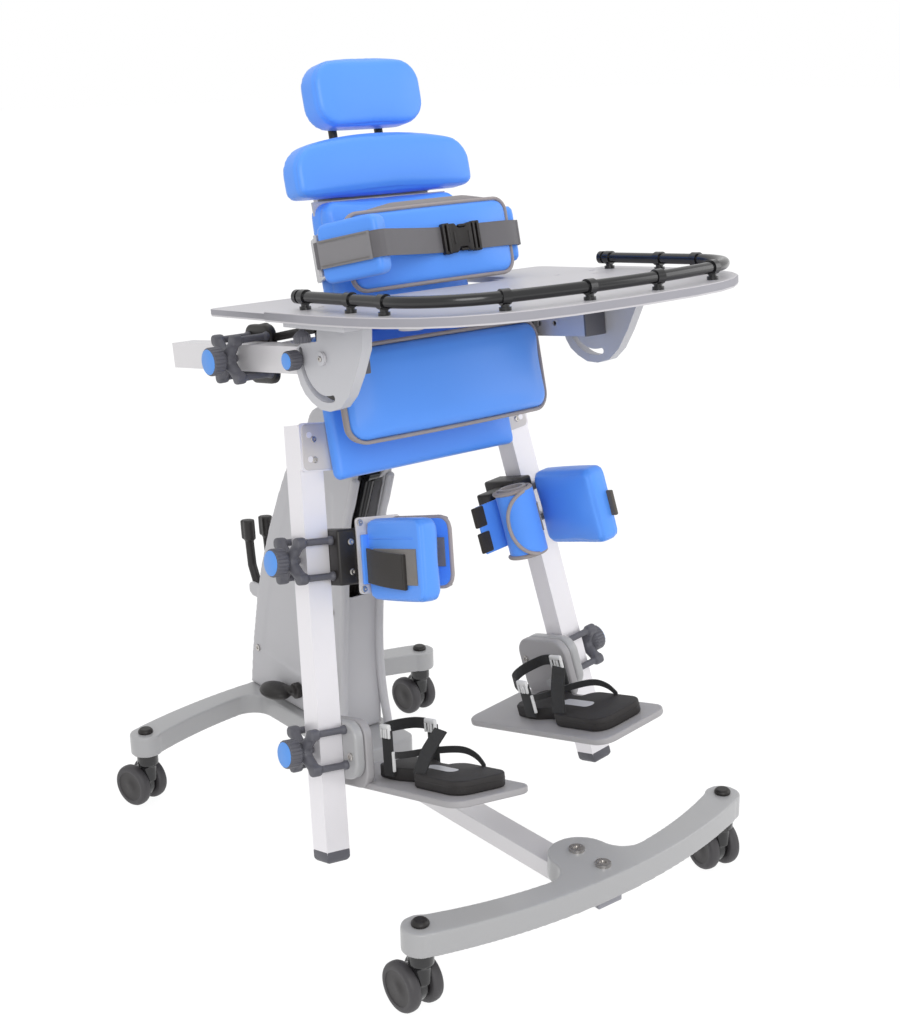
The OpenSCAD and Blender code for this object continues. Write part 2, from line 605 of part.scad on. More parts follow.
module sandal(left) color(dark) foot_at(left) translate([103, 0, PLATE_Z]) {
  difference() {
    linear_extrude(15) union() {
      round_rect(-44, 44, -214, -108, 20);
      round_rect(-35, 35, -130, -14, 20);
    }
    translate([0, 0, -1]) linear_extrude(20) round_rect(-9, 9, -150, -88, 8.9);
  }
  for (s = [-1, 1]) {
    translate([s > 0 ? 30 : -35, -64, 14]) cube([5, 22, 42]);
    translate([s > 0 ? 36 : -41, -150, 14]) cube([5, 24, 14]);
  }
  translate([0, -50, 40]) linear_extrude(16) difference() {
    union() {
      circle(36);
      translate([-36, -12]) square([72, 12]);
    }
    circle(32);
    translate([-32, -40]) square([64, 40]);
    translate([-60, -72]) square([120, 60]);
  }
  translate([0, -138, 15]) rotate([90, 0, 0]) translate([0, 0, -9]) linear_extrude(18) difference() {
    translate([0, 8]) circle(41);
    translate([0, 8]) circle(38);
    translate([-60, -60]) square([120, 68]);
  }
}
module sandal_r() sandal(false);
module sandal_l() sandal(true);

// Pelvic support: clamps on the side bars, arms and front pad
CLAMP_Y = -182;
module hip_clamp_at(left) bar_frame() other_side(left)
  translate([-bar_x, CLAMP_Y, 0]) rotate([90, 0, 0]) children();
module hip_clamps() for (left = [false, true]) {
  hip_clamp_at(left) {
    color(slate) difference() {
      clamp_yoke();
      knob_bore();
    }
    color(dark) translate([18, -38, -30]) cube([10, 76, 60]);
  }
  color(dark) body_frame() other_side(left) {
    translate([-172, 0, 0]) rotate([90, 0, 90]) linear_extrude(5) {
      round_rect(40, 84, 64, 142, 12);
      translate([-96, 115]) square([150, 11]);
      translate([-96, 24]) square([26, 102]);
    }
  }
}
module pelvic_pad() color(blue) body_frame() translate([0, -114, 28])
  cushion(333.6, 124, 22, 24, bow = 24);
module hip_knob_r() color(slate) hip_clamp_at(false) knob();
module hip_knob_l() color(slate) hip_clamp_at(true) knob();

// Tray: quadrant brackets on the side bars, sliding board with wings, rail on posts
BR_X0 = -229;
BR_X1 = -215;
QUADRANT = [[-86, 60], [-84, 22], [-68, -12], [-52, -39], [-34, -56], [-11, -64], [10, -65], [29, -59],
  [44, -51], [54, -40], [61, -25], [63, -8], [59, 4], [48, 12], [29, 15], [13, 19], [9, 60]];
module quadrant() difference() {
  top = tray_z - tan(tray_slope) * tray_pivot_y - tray_pivot_z - tray_t - gap - 5;
  polygon(QUADRANT);
  circle(d = 10 + 2 * run);
  difference() {
    circle(arc_r + 4.2);
    circle(arc_r - 4.2);
    polygon([[0, 0], 200 * [cos(-112), sin(-112)], [-400, -400], [-400, 400], [400, 400],
      200 * [cos(4), sin(4)]]);
  }
  for (a = [-112, 4]) translate(arc_r * [cos(a), sin(a)]) circle(3.9);
  translate([0, top]) rotate(-tray_slope) translate([-400, 0]) square([800, 80]);
}
FLANGE_T = 6;
FLANGE_Z = -tray_t - gap - FLANGE_T;
SLIDE_KNOB = [-258, 2];
module tray_brackets() color(light) {
  for (left = [false, true]) other_side(left) {
    translate([BR_X0, tray_pivot_y, tray_pivot_z])
      rotate([90, 0, 90]) linear_extrude(BR_X1 - BR_X0) quadrant();
    tray_frame() difference() {
      translate([-274, -112, FLANGE_Z]) cube([128, 128, FLANGE_T]);
      translate([SLIDE_KNOB[0], SLIDE_KNOB[1], FLANGE_Z - 5]) cylinder(d = 6 + 2 * run, h = 20);
    }
    tray_frame() translate([-169, -98, FLANGE_Z - 10]) cylinder(d = 30, h = 12);
  }
  tray_frame() translate([-150, -112, FLANGE_Z]) cube([300, 28, FLANGE_T]);
}
BOARD = [[0, -308], [95, -304], [150, -294], [190, -277], [225, -252], [250, -220], [267, -180],
  [278, -130], [284, -70], [284, 40]];
function flip(p) = [for (i = [len(p) - 1 : -1 : 1]) [-p[i][0], p[i][1]]];
module tray_board() color(light) tray_frame() difference() {
  union() {
    translate([0, 0, -tray_t]) linear_extrude(tray_t) polygon(concat(flip(BOARD), BOARD));
    translate([0, 0, -tray_t]) linear_extrude(tray_t - 3) round_rect(-280, 280, 20, 186, 12);
  }
  translate([0, 0, -50]) linear_extrude(100) {
    translate([-138, 130]) square([276, 200]);
    translate([0, 130]) intersection() {
      circle(138, $fn = 96);
      translate([-200, -45]) square([400, 100]);
    }
    translate([-106, 66]) square([212, 80]);
  }
  for (x = [158, 190, 222], s = [-1, 1])
    translate([s * x, x == 190 ? -30 : 10, -6]) cylinder(d = 9, h = 20);
}
// rail path: straight sides, corner arcs, one shallow arc across the front
RAIL_X = 249;
RAIL_END = 14;
CORNER_R = 110;
FRONT_R = 729;
FRONT_C = 444;
CORNER_X = RAIL_X - CORNER_R;
CORNER_Y = FRONT_C - sqrt(pow(FRONT_R - CORNER_R, 2) - CORNER_X * CORNER_X);
CORNER_A = atan2(FRONT_C - CORNER_Y, CORNER_X);
module collar(x, y, a) translate([x, y, 0]) {
  translate([0, 0, rail_h]) rotate([0, 90, a]) cylinder(d = rail_d + 4, h = 11, center = true);
  translate([0, 0, -1]) cylinder(d = 10, h = rail_h);
  cylinder(d = 14, h = 4);
}
module tray_rail() color(dark) tray_frame() difference() {
  union() {
    translate([0, FRONT_C, rail_h]) rotate(CORNER_A - 180 + 0.1)
      rotate_extrude(angle = 180 - 2 * CORNER_A - 0.2, $fn = 180)
        translate([FRONT_R, 0]) circle(d = rail_d);
    for (s = [0, 1]) mirror([s, 0, 0]) {
      translate([RAIL_X, CORNER_Y + 0.4, rail_h]) rotate([-90, 0, 0])
        cylinder(d = rail_d, h = RAIL_END - CORNER_Y - 0.4);
      translate([CORNER_X, CORNER_Y, rail_h]) rotate(0.8 - CORNER_A)
        rotate_extrude(angle = CORNER_A - 1.6, $fn = 96) translate([CORNER_R, 0]) circle(d = rail_d);
      translate([RAIL_X, RAIL_END - 1, rail_h]) rotate([-90, 0, 0]) cylinder(d = rail_d + 3, h = 7);
      collar(RAIL_X, 3, 90);
      collar(RAIL_X, -93, 90);
      collar(RAIL_X, CORNER_Y, 90);
      collar(FRONT_R * cos(CORNER_A), FRONT_C - FRONT_R * sin(CORNER_A), 90 - CORNER_A);
      collar(54, FRONT_C - sqrt(FRONT_R * FRONT_R - 54 * 54), -4);
    }
  }
  translate([-400, -400, -10]) cube([800, 800, 10]);
}
module tray_knob(left) color(slate) other_side(left) translate([0, KNOB_Y, KNOB_Z]) {
  xcyl(6.6, BR_X0 - 4, -205);
  xcyl(25, BR_X0 - 22, BR_X0 - 1);
}
module tray_knob_r() tray_knob(false);
module tray_knob_l() tray_knob(true);
module slide_knob(left) color(slate) tray_frame() other_side(left)
  translate([SLIDE_KNOB[0], SLIDE_KNOB[1], FLANGE_Z]) {
  translate([0, 0, -8]) cylinder(d = 6, h = 13.5);
  translate([0, 0, -7]) cylinder(d = 12, h = 6.5);
  translate([0, 0, -20]) cylinder(d = 21, h = 14);
}
module slide_knob_r() slide_knob(false);
module slide_knob_l() slide_knob(true);

rear_foot();
front_foot();
base_beam();
chassis_screws();
castor_caps();
tower_shell();
castor_fork_fr();
castor_fork_fl();
castor_fork_rr();
castor_fork_rl();
castor_wheels_fr();
castor_wheels_fl();
castor_wheels_rr();
castor_wheels_rl();
foot_pedal();
release_lever();
strut_cylinder();
strut_rod();
backrest_frame();
side_bars();
hip_cushion();
back_cushion();
shoulder_cushion();
chest_brackets();
chest_pad();
chest_lateral_r();
chest_lateral_l();
chest_belt();
belt_buckle();
head_cushion();
head_rods();
leg_tube_r();
leg_tube_l();
knee_clamp_r();
knee_clamp_l();
knee_cushion_r();
knee_cushion_l();
knee_strap_r();
knee_strap_l();
knee_knob_r();
knee_knob_l();
foot_clamp_r();
foot_clamp_l();
foot_knob_r();
foot_knob_l();
footplate_r();
footplate_l();
sandal_r();
sandal_l();
hip_clamps();
pelvic_pad();
hip_knob_r();
hip_knob_l();
tray_brackets();
tray_board();
tray_rail();
tray_knob_r();
tray_knob_l();
slide_knob_r();
slide_knob_l();
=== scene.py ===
"""Looks of a wheeled standing frame: castor base, tower, cushions, legs, tray."""

import json
import math

import bmesh
import bpy
from mathutils import Matrix, Vector


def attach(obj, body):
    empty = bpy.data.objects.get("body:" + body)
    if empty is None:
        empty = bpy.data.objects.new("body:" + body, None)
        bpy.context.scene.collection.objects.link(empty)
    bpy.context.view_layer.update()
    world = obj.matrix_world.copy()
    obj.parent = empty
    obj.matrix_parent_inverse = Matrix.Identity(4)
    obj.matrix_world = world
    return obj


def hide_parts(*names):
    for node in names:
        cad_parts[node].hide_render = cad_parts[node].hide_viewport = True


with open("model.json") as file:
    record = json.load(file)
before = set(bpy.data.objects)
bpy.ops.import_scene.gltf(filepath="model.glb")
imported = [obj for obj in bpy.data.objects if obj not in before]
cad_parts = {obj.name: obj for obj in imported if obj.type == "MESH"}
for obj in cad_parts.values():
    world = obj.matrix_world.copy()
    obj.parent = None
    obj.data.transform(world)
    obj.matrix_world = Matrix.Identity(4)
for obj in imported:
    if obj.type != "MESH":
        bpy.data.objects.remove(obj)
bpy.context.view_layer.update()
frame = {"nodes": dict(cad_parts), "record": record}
NODES = frame["nodes"]
BODY_OF = {n: b for b, ns in frame["record"]["behaviour"]["bodies"].items() for n in ns}

# Frames of the tilted body, the legs, the side bars and the tray, in metres and degrees
BODY_AT = (0, 0.0116, 0.6595)
BODY_TILT = -13.6
LEG_SPREAD = 6.8
LEG_X = -0.1715
BAR_AT = (0, 0.278, 0.721)
BAR_X = -0.196
HIP_CLAMP_Y = -0.182
BAR_SLOPE = -7.0
TRAY_SLOPE = -4.5
TRAY_PIVOT_Y = -0.135
TRAY_Z = 0.829
TRAY_PIN = (-0.233, TRAY_PIVOT_Y, 0.778)
KNEE_DROP = {"r": 0.178, "l": 0.172}
FOOT_DROP = {"r": 0.430, "l": 0.408}
MM = Matrix.Scale(0.001, 4)
MIRROR = Matrix.Scale(-1, 4, (1, 0, 0))
WHOLE = Matrix.Identity(4)
HALF = {"r": WHOLE, "l": MIRROR}
SIDES = ("r", "l")
WELD = 2e-5
OVAL_SIDES = 12


def turn(degrees, axis):
    return Matrix.Rotation(math.radians(degrees), 4, axis)


def move(x, y, z):
    return Matrix.Translation((x, y, z))


BODY = move(*BODY_AT) @ turn(BODY_TILT, "X")
BAR = move(*BAR_AT) @ turn(BAR_SLOPE, "X")
TRAY_RISE = math.tan(math.radians(TRAY_SLOPE)) * TRAY_PIVOT_Y
TRAY = move(0, TRAY_PIVOT_Y, TRAY_Z + TRAY_RISE) @ turn(TRAY_SLOPE, "X")


def leg(side):
    return BODY @ HALF[side] @ move(LEG_X, 0, 0) @ turn(LEG_SPREAD, "Y")


def knee(side):
    return leg(side) @ move(0, 0, -KNEE_DROP[side])


def foot(side):
    return leg(side) @ move(0, 0, -FOOT_DROP[side])


def hip(side):
    return BAR @ HALF[side] @ move(BAR_X, HIP_CLAMP_Y, 0) @ turn(90, "X")


# Shader helpers and shared shader groups
COLOUR = "NodeSocketColor"
FLOAT = "NodeSocketFloat"
BUMP_DISTANCE = 0.001


def set_inputs(node, values):
    for socket, value in values.items():
        node.inputs[socket].default_value = value


def new_node(tree, kind, values=None, operation=None):
    made = tree.nodes.new(kind)
    if operation:
        made.operation = operation
    set_inputs(made, values or {})
    return made


def wire(tree, *links):
    """Joins sockets; each link gives a node and its output, then a node and its input."""
    for source, output, target, socket in links:
        tree.links.new(source.outputs[output], target.inputs[socket])


def new_group(name, inputs, outputs):
    group = bpy.data.node_groups.new(name, "ShaderNodeTree")
    for label, kind, value in inputs:
        socket = group.interface.new_socket(label, in_out="INPUT", socket_type=kind)
        socket.default_value = value
    for label, kind in outputs:
        group.interface.new_socket(label, in_out="OUTPUT", socket_type=kind)
    return group, group.nodes.new("NodeGroupInput"), group.nodes.new("NodeGroupOutput")


def make_mottle():
    """Soft cloudy change of colour and roughness over a surface."""
    group, inside, outside = new_group(
        "mottle",
        [
            ("Color", COLOUR, (0.5, 0.5, 0.5, 1)),
            ("Scale", FLOAT, 12.0),
            ("Amount", FLOAT, 0.06),
            ("Roughness", FLOAT, 0.4),
            ("Rough Amount", FLOAT, 0.1),
        ],
        [("Color", COLOUR), ("Roughness", FLOAT)],
    )
    where = new_node(group, "ShaderNodeTexCoord")
    noise = new_node(group, "ShaderNodeTexNoise", {"Detail": 4})
    centre = new_node(group, "ShaderNodeMath", {1: 0.5}, "SUBTRACT")
    shade = new_node(group, "ShaderNodeMath", {2: 1.0}, "MULTIPLY_ADD")
    tint = new_node(group, "ShaderNodeVectorMath", operation="SCALE")
    rough = new_node(group, "ShaderNodeMath", operation="MULTIPLY_ADD")
    wire(
        group,
        (where, "Object", noise, "Vector"),
        (inside, "Scale", noise, "Scale"),
        (noise, "Fac", centre, 0),
        (centre, 0, shade, 0),
        (inside, "Amount", shade, 1),
        (inside, "Color", tint, 0),
        (shade, 0, tint, "Scale"),
        (tint, 0, outside, "Color"),
        (centre, 0, rough, 0),
        (inside, "Rough Amount", rough, 1),
        (inside, "Roughness", rough, 2),
        (rough, 0, outside, "Roughness"),
    )
    return group


def make_grain():
    """Fine pebbled or orange-peel height."""
    sizes = [("Scale", FLOAT, 600.0), ("Pebble", FLOAT, 0.5)]
    group, inside, outside = new_group("grain", sizes, [("Height", FLOAT)])
    where = new_node(group, "ShaderNodeTexCoord")
    noise = new_node(group, "ShaderNodeTexNoise", {"Detail": 3})
    cells = new_node(group, "ShaderNodeTexVoronoi")
    both = new_node(group, "ShaderNodeMix")
    for texture in (noise, cells):
        wire(group, (where, "Object", texture, "Vector"), (inside, "Scale", texture, "Scale"))
    wire(
        group,
        (inside, "Pebble", both, "Factor"),
        (noise, "Fac", both, "A"),
        (cells, "Distance", both, "B"),
        (both, "Result", outside, "Height"),
    )
    return group


def make_weave():
    """Crossed bands of webbing on the piece's own UV map, in metres."""
    group, inside, outside = new_group("weave", [("Pitch", FLOAT, 700.0)], [("Height", FLOAT)])
    where = new_node(group, "ShaderNodeTexCoord")
    cross = new_node(group, "ShaderNodeMath", operation="MULTIPLY")
    for k, direction in enumerate(("X", "Y")):
        wave = new_node(group, "ShaderNodeTexWave", {"Distortion": 0.6})
        wave.bands_direction = direction
        wire(group, (where, "UV", wave, "Vector"), (inside, "Pitch", wave, "Scale"), (wave, "Fac", cross, k))
    wire(group, (cross, 0, outside, "Height"))
    return group


MOTTLE = make_mottle()
GRAIN = make_grain()
WEAVE = make_weave()


def add_group(mat, group, values):
    made = new_node(mat.node_tree, "ShaderNodeGroup")
    made.node_tree = group
    set_inputs(made, values)
    return made


def add_bump(mat, source, output, strength):
    tree = mat.node_tree
    lift = new_node(tree, "ShaderNodeBump", {"Strength": strength, "Distance": BUMP_DISTANCE})
    wire(tree, (source, output, lift, "Height"), (lift, "Normal", tree.nodes["Principled BSDF"], "Normal"))


def finish_material(name, color, rough, mottle, grain=None, bump=0.0, metallic=0.0, coat=0.0, coat_rough=0.2,
                    sheen=0.0):
    """Principled finish with cloudy colour and an optional fine grain."""
    mat = bpy.data.materials.new(name)
    mat.use_nodes = True
    tree = mat.node_tree
    shader = tree.nodes["Principled BSDF"]
    set_inputs(shader, {"Metallic": metallic, "Coat Weight": coat, "Coat Roughness": coat_rough,
                        "Sheen Weight": sheen})
    scale, amount, rough_amount = mottle
    cloud = add_group(mat, MOTTLE, {"Color": (*color, 1), "Scale": scale, "Amount": amount,
                                    "Roughness": rough, "Rough Amount": rough_amount})
    wire(tree, (cloud, "Color", shader, "Base Color"), (cloud, "Roughness", shader, "Roughness"))
    if grain:
        relief = add_group(mat, GRAIN, {"Scale": grain[0], "Pebble": grain[1]})
        add_bump(mat, relief, "Height", bump)
    return mat


def webbing_material(name, color, pitch=700.0):
    """Woven strap: crossed bands on the strap's own UV map."""
    mat = finish_material(name, color, 0.75, (40, 0.12, 0.1), sheen=0.15)
    weave = add_group(mat, WEAVE, {"Pitch": pitch})
    add_bump(mat, weave, "Height", 0.35)
    return mat


def brushed_material(name, color, stretch, rough=0.36):
    """Satin aluminium with fine lines along its length."""
    mat = finish_material(name, color, rough, (9, 0.05, 0.08), metallic=0.4)
    tree = mat.node_tree
    where = new_node(tree, "ShaderNodeTexCoord")
    scale = new_node(tree, "ShaderNodeMapping", {"Scale": stretch})
    lines = new_node(tree, "ShaderNodeTexNoise", {"Scale": 1.0, "Detail": 2})
    wire(tree, (where, "Object", scale, "Vector"), (scale, "Vector", lines, "Vector"))
    add_bump(mat, lines, "Fac", 0.06)
    return mat


VINYL = finish_material("blue_vinyl", (0.098, 0.335, 1.0), 0.38, (7, 0.10, 0.10), (900, 0.35), 0.12,
                        sheen=0.1)
NEOPRENE = finish_material("blue_neoprene", (0.088, 0.32, 1.0), 0.55, (9, 0.12, 0.1), (1500, 0.7), 0.2,
                           sheen=0.2)
BINDING = webbing_material("grey_binding", (0.36, 0.32, 0.32), 1100.0)
WEBBING = webbing_material("belt_webbing", (0.148, 0.143, 0.153))
WEBBING_PALE = webbing_material("belt_tab", (0.265, 0.258, 0.268), 900.0)
CAST_PAINT = finish_material("cast_paint", (0.405, 0.405, 0.412), 0.36, (6, 0.05, 0.08), (350, 0.2), 0.08,
                             coat=0.45, coat_rough=0.14)
TOWER_PAINT = finish_material("tower_paint", (0.525, 0.52, 0.54), 0.42, (5, 0.05, 0.08), (420, 0.2), 0.08,
                              coat=0.1)
PLATE_PAINT = finish_material("plate_paint", (0.58, 0.58, 0.61), 0.40, (9, 0.05, 0.08), (420, 0.2), 0.08,
                              coat=0.1)
BOARD_PAINT = finish_material("board_paint", (0.37, 0.36, 0.37), 0.44, (9, 0.05, 0.08), (420, 0.2), 0.08,
                              coat=0.05)
BLACK_PLASTIC = finish_material("black_plastic", (0.014, 0.0118, 0.0112), 0.42, (14, 0.25, 0.12), (1300, 0.4),
                                0.15)
BLACK_RAIL = finish_material("black_rail", (0.008, 0.008, 0.009), 0.22, (10, 0.2, 0.06),
                             coat=0.3, coat_rough=0.1)
SLATE = finish_material("slate_plastic", (0.105, 0.105, 0.123), 0.46, (15, 0.12, 0.1), (1300, 0.5), 0.15)
TYRE = finish_material("tyre_rubber", (0.056, 0.053, 0.057), 0.5, (30, 0.12, 0.12), (1500, 0.3), 0.2)
HUB = finish_material("hub_plastic", (0.030, 0.027, 0.028), 0.45, (20, 0.15, 0.1), (1200, 0.4), 0.12)
PLATE_METAL = brushed_material("plate_metal", (0.62, 0.595, 0.59), (500, 500, 60), 0.38)
WEBBING_BLACK = webbing_material("black_webbing", (0.012, 0.012, 0.013), 900.0)
LEG_ALU = brushed_material("leg_aluminium", (0.86, 0.84, 0.87), (900, 900, 14))
BAR_ALU = brushed_material("bar_aluminium", (0.75, 0.735, 0.75), (900, 14, 900))
STEEL = finish_material("screw_steel", (0.52, 0.50, 0.48), 0.28, (60, 0.06, 0.1), metallic=1.0)
TRAY_TOP = finish_material("tray_laminate", (0.585, 0.57, 0.595), 0.38, (16, 0.04, 0.08), (700, 0.3), 0.06,
                           coat=0.1)
TRAY_BAND = finish_material("tray_edge_band", (0.335, 0.33, 0.365), 0.5, (24, 0.08, 0.1), (700, 0.3), 0.06)
SANDAL = finish_material("sandal_rubber", (0.019, 0.0165, 0.0165), 0.6, (40, 0.2, 0.12), (1100, 0.6), 0.3)
BUCKLE_WHITE = finish_material("buckle_white", (0.72, 0.72, 0.72), 0.35, (30, 0.05, 0.08))
KNOB_BLUE = finish_material("knob_blue", (0.10, 0.33, 0.86), 0.4, (30, 0.06, 0.08), (1300, 0.4), 0.1)
LINER = finish_material("grey_liner", (0.34, 0.315, 0.315), 0.7, (20, 0.1, 0.1), (1400, 0.6), 0.25,
                        sheen=0.2)
HOOK_TAPE = finish_material("hook_tape", (0.021, 0.017, 0.0145), 0.75, (40, 0.2, 0.1), (1800, 0.8), 0.4,
                            sheen=0.2)
TAB_BROWN = finish_material("tab_tape", (0.095, 0.085, 0.074), 0.8, (40, 0.15, 0.1), (1800, 0.8), 0.4,
                            sheen=0.2)
BEAM_CAP = finish_material("beam_cap_plastic", (0.30, 0.30, 0.335), 0.45, (15, 0.1, 0.1), (1300, 0.5), 0.1)
LOOP_TAPE = finish_material("loop_tape", (0.20, 0.185, 0.175), 0.85, (40, 0.15, 0.1), (1800, 0.8), 0.4,
                            sheen=0.3)


# Building helpers: shapes are drawn in local millimetres and placed by a frame
def add_object(name, data):
    obj = bpy.data.objects.new(name, data)
    bpy.context.scene.collection.objects.link(obj)
    return obj


def as_mesh(name, bm):
    mesh = bpy.data.meshes.new(name)
    bm.to_mesh(mesh)
    bm.free()
    return mesh


def opened(mesh):
    bm = bmesh.new()
    bm.from_mesh(mesh)
    return bm


def place(bm, where):
    whole = where @ MM
    bmesh.ops.transform(bm, matrix=whole, verts=bm.verts)
    if whole.determinant() < 0:
        bmesh.ops.reverse_faces(bm, faces=bm.faces)


def piece(name, bm, mat, body, replaces=(), sharp=40):
    """A finished shape in the scene, on its body and in its material slot."""
    mesh = as_mesh(name, bm)
    obj = add_object(name, mesh)
    mesh.materials.clear()
    mesh.materials.append(mat)
    mesh.shade_smooth()
    mesh.set_sharp_from_angle(angle=math.radians(sharp))
    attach(obj, body)
    if replaces:
        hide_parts(*replaces)
    return obj


def put(name, bm, where, mat, body, replaces=(), sharp=40):
    """A piece from a shape in millimetres and the frame it lies in."""
    place(bm, where)
    return piece(name, bm, mat, body, replaces, sharp)


def stand_in(name, node, bm, where, mat, sharp=40):
    """A piece in the stead of a node, on the node's body and in its slot."""
    return put(name, bm, where, mat, BODY_OF[node], (node,), sharp)


def paint(node, mat):
    mesh = NODES[node].data
    mesh.materials.clear()
    mesh.materials.append(mat)


def evaluated_mesh(obj):
    graph = bpy.context.evaluated_depsgraph_get()
    return bpy.data.meshes.new_from_object(obj.evaluated_get(graph))


def rescale(bm, factor):
    bmesh.ops.scale(bm, vec=(factor, factor, factor), verts=bm.verts)


def bevel(bm, edges, radius, segments):
    bmesh.ops.bevel(bm, geom=edges, offset=radius, offset_type="OFFSET", segments=segments, profile=0.5,
                    affect="EDGES", clamp_overlap=True, material=-1)


def relax(bm, rounds):
    for _ in range(rounds):
        bmesh.ops.smooth_vert(bm, verts=bm.verts, factor=0.5, use_axis_x=True, use_axis_y=True,
                              use_axis_z=True)


def thicken(bm, thickness):
    bmesh.ops.solidify(bm, geom=bm.faces[:] + bm.edges[:] + bm.verts[:], thickness=thickness)


def edges_over(bm, degrees):
    return [e for e in bm.edges if len(e.link_faces) == 2 and e.calc_face_angle(0) > math.radians(degrees)]


def new_verts(made):
    return [g for g in made if isinstance(g, bmesh.types.BMVert)]


def softened(node, width, mat, cut=None):
    """The node's own shape with rounded edges, in place of the sharp solid. cut is a plane that trims it."""
    bm = opened(NODES[node].data)
    if cut:
        everything = bm.verts[:] + bm.edges[:] + bm.faces[:]
        bmesh.ops.bisect_plane(bm, geom=everything, plane_co=cut[0], plane_no=cut[1], clear_outer=True)
    bmesh.ops.remove_doubles(bm, verts=bm.verts, dist=WELD)
    bmesh.ops.dissolve_limit(bm, angle_limit=math.radians(0.6), verts=bm.verts, edges=bm.edges)
    bevel(bm, edges_over(bm, 32), width * 0.001, 3)
    obj = piece(node + "_shell", bm, mat, BODY_OF[node], (node,), sharp=50)
    even = obj.modifiers.new("even_normals", "WEIGHTED_NORMAL")
    even.keep_sharp = True


def box(bm, low, high):
    made = bmesh.ops.create_cube(bm, size=1)["verts"]
    size = [b - a for a, b in zip(low, high)]
    middle = [(a + b) / 2 for a, b in zip(low, high)]
    bmesh.ops.scale(bm, vec=size, verts=made)
    bmesh.ops.translate(bm, vec=middle, verts=made)


def soft_box(low, high, radius):
    bm = bmesh.new()
    box(bm, low, high)
    bevel(bm, bm.edges[:], radius, 3)
    return bm


def soft_boxes(rows, where, body):
    """Rounded blocks; each row is a name, two corners, a radius, a slot and a material; the slot is not used.
    """
    for name, low, high, radius, slot, mat in rows:
        put(name, soft_box(low, high, radius), where, mat, body)


def slab(points, push, radius, segments=3):
    """Flat outline pushed into a plate with rounded rims."""
    bm = bmesh.new()
    face = bm.faces.new([bm.verts.new(p) for p in points])
    made = bmesh.ops.extrude_face_region(bm, geom=[face])["geom"]
    bmesh.ops.translate(bm, vec=push, verts=new_verts(made))
    bmesh.ops.recalc_face_normals(bm, faces=bm.faces)
    bevel(bm, edges_over(bm, 50), radius, segments)
    return bm


def rod(bm, a, b, radius, sides=24, radius2=None):
    """Round bar between two points."""
    a, b = Vector(a), Vector(b)
    far_radius = radius if radius2 is None else radius2
    made = bmesh.ops.create_cone(bm, cap_ends=True, segments=sides, radius1=radius, radius2=far_radius,
                                 depth=(b - a).length)["verts"]
    swing = (b - a).to_track_quat("Z", "Y").to_matrix().to_4x4()
    bmesh.ops.transform(bm, matrix=Matrix.Translation((a + b) / 2) @ swing, verts=made)


def remeshed(bm, voxel):
    obj = add_object("block", as_mesh("block", bm))
    even = obj.modifiers.new("even", "REMESH")
    even.mode = "VOXEL"
    even.voxel_size = voxel
    out = evaluated_mesh(obj)
    bpy.data.objects.remove(obj)
    return out


def fused(bm, voxel, rounds):
    """One cast shape from overlapping ones, drawn in millimetres, with softened meets."""
    rescale(bm, 0.001)
    whole = opened(remeshed(bm, voxel * 0.001))
    relax(whole, rounds)
    rescale(whole, 1000)
    return whole


def cast(node, voxel, rounds, mat, fills=()):
    """The node's own shape as a casting with well rounded edges and filled pockets."""
    bm = opened(NODES[node].data)
    rescale(bm, 1000)
    for low, high in fills:
        box(bm, low, high)
    stand_in(node + "_casting", node, fused(bm, voxel, rounds), WHOLE, mat, sharp=60)


def join(parts):
    whole = bmesh.new()
    for bm in parts:
        mesh = as_mesh("part", bm)
        whole.from_mesh(mesh)
        bpy.data.meshes.remove(mesh)
    return whole


def lathe(points, axis, steps):
    """Profile spun about an axis through the origin."""
    bm = bmesh.new()
    verts = [bm.verts.new(p) for p in points]
    edges = [bm.edges.new(pair) for pair in zip(verts, verts[1:])]
    bmesh.ops.spin(bm, geom=verts + edges, cent=(0, 0, 0), axis=axis, angle=2 * math.pi, steps=steps,
                   use_merge=True)
    bmesh.ops.remove_doubles(bm, verts=bm.verts, dist=0.02)
    bmesh.ops.recalc_face_normals(bm, faces=bm.faces)
    return bm


def screws(name, spots, body, radius=5.0, height=2.4, mat=STEEL):
    """Socket screws; each spot is a frame whose z axis points out of the surface."""
    line = [(0.01, height * 0.35), (radius * 0.42, height * 0.35), (radius * 0.46, height),
            (radius * 0.8, height), (radius, height * 0.55), (radius, -0.3)]
    heads = []
    for spot in spots:
        bm = lathe([(r, 0, h) for r, h in line], (0, 0, 1), 24)
        place(bm, spot)
        heads.append(bm)
    piece(name, join(heads), mat, body, sharp=30)


def disc_x(bm, radius, x0, x1, y=0.0, z=0.0, sides=40):
    """Cylinder along x."""
    made = bmesh.ops.create_cone(bm, cap_ends=True, segments=sides, radius1=radius, radius2=radius,
                                 depth=x1 - x0)
    verts = made["verts"]
    bmesh.ops.rotate(bm, verts=verts, cent=(0, 0, 0), matrix=Matrix.Rotation(math.pi / 2, 3, "Y"))
    bmesh.ops.translate(bm, verts=verts, vec=((x0 + x1) / 2, y, z))


def smooth_path(points, steps):
    """Rounded run through the points."""
    last = len(points) - 1
    out = []
    for i in range(last):
        p = [Vector(points[min(max(k, 0), last)]) for k in (i - 1, i, i + 1, i + 2)]
        for s in range(steps):
            t = s / steps
            a = -p[0] + 3 * p[1] - 3 * p[2] + p[3]
            b = 2 * p[0] - 5 * p[1] + 4 * p[2] - p[3]
            c = p[2] - p[0]
            out.append(0.5 * (a * t ** 3 + b * t ** 2 + c * t + 2 * p[1]))
    out.append(Vector(points[-1]))
    return out


def flat_gap(point, other, direction):
    gap = point - other
    return (gap - direction * gap.dot(direction)).length


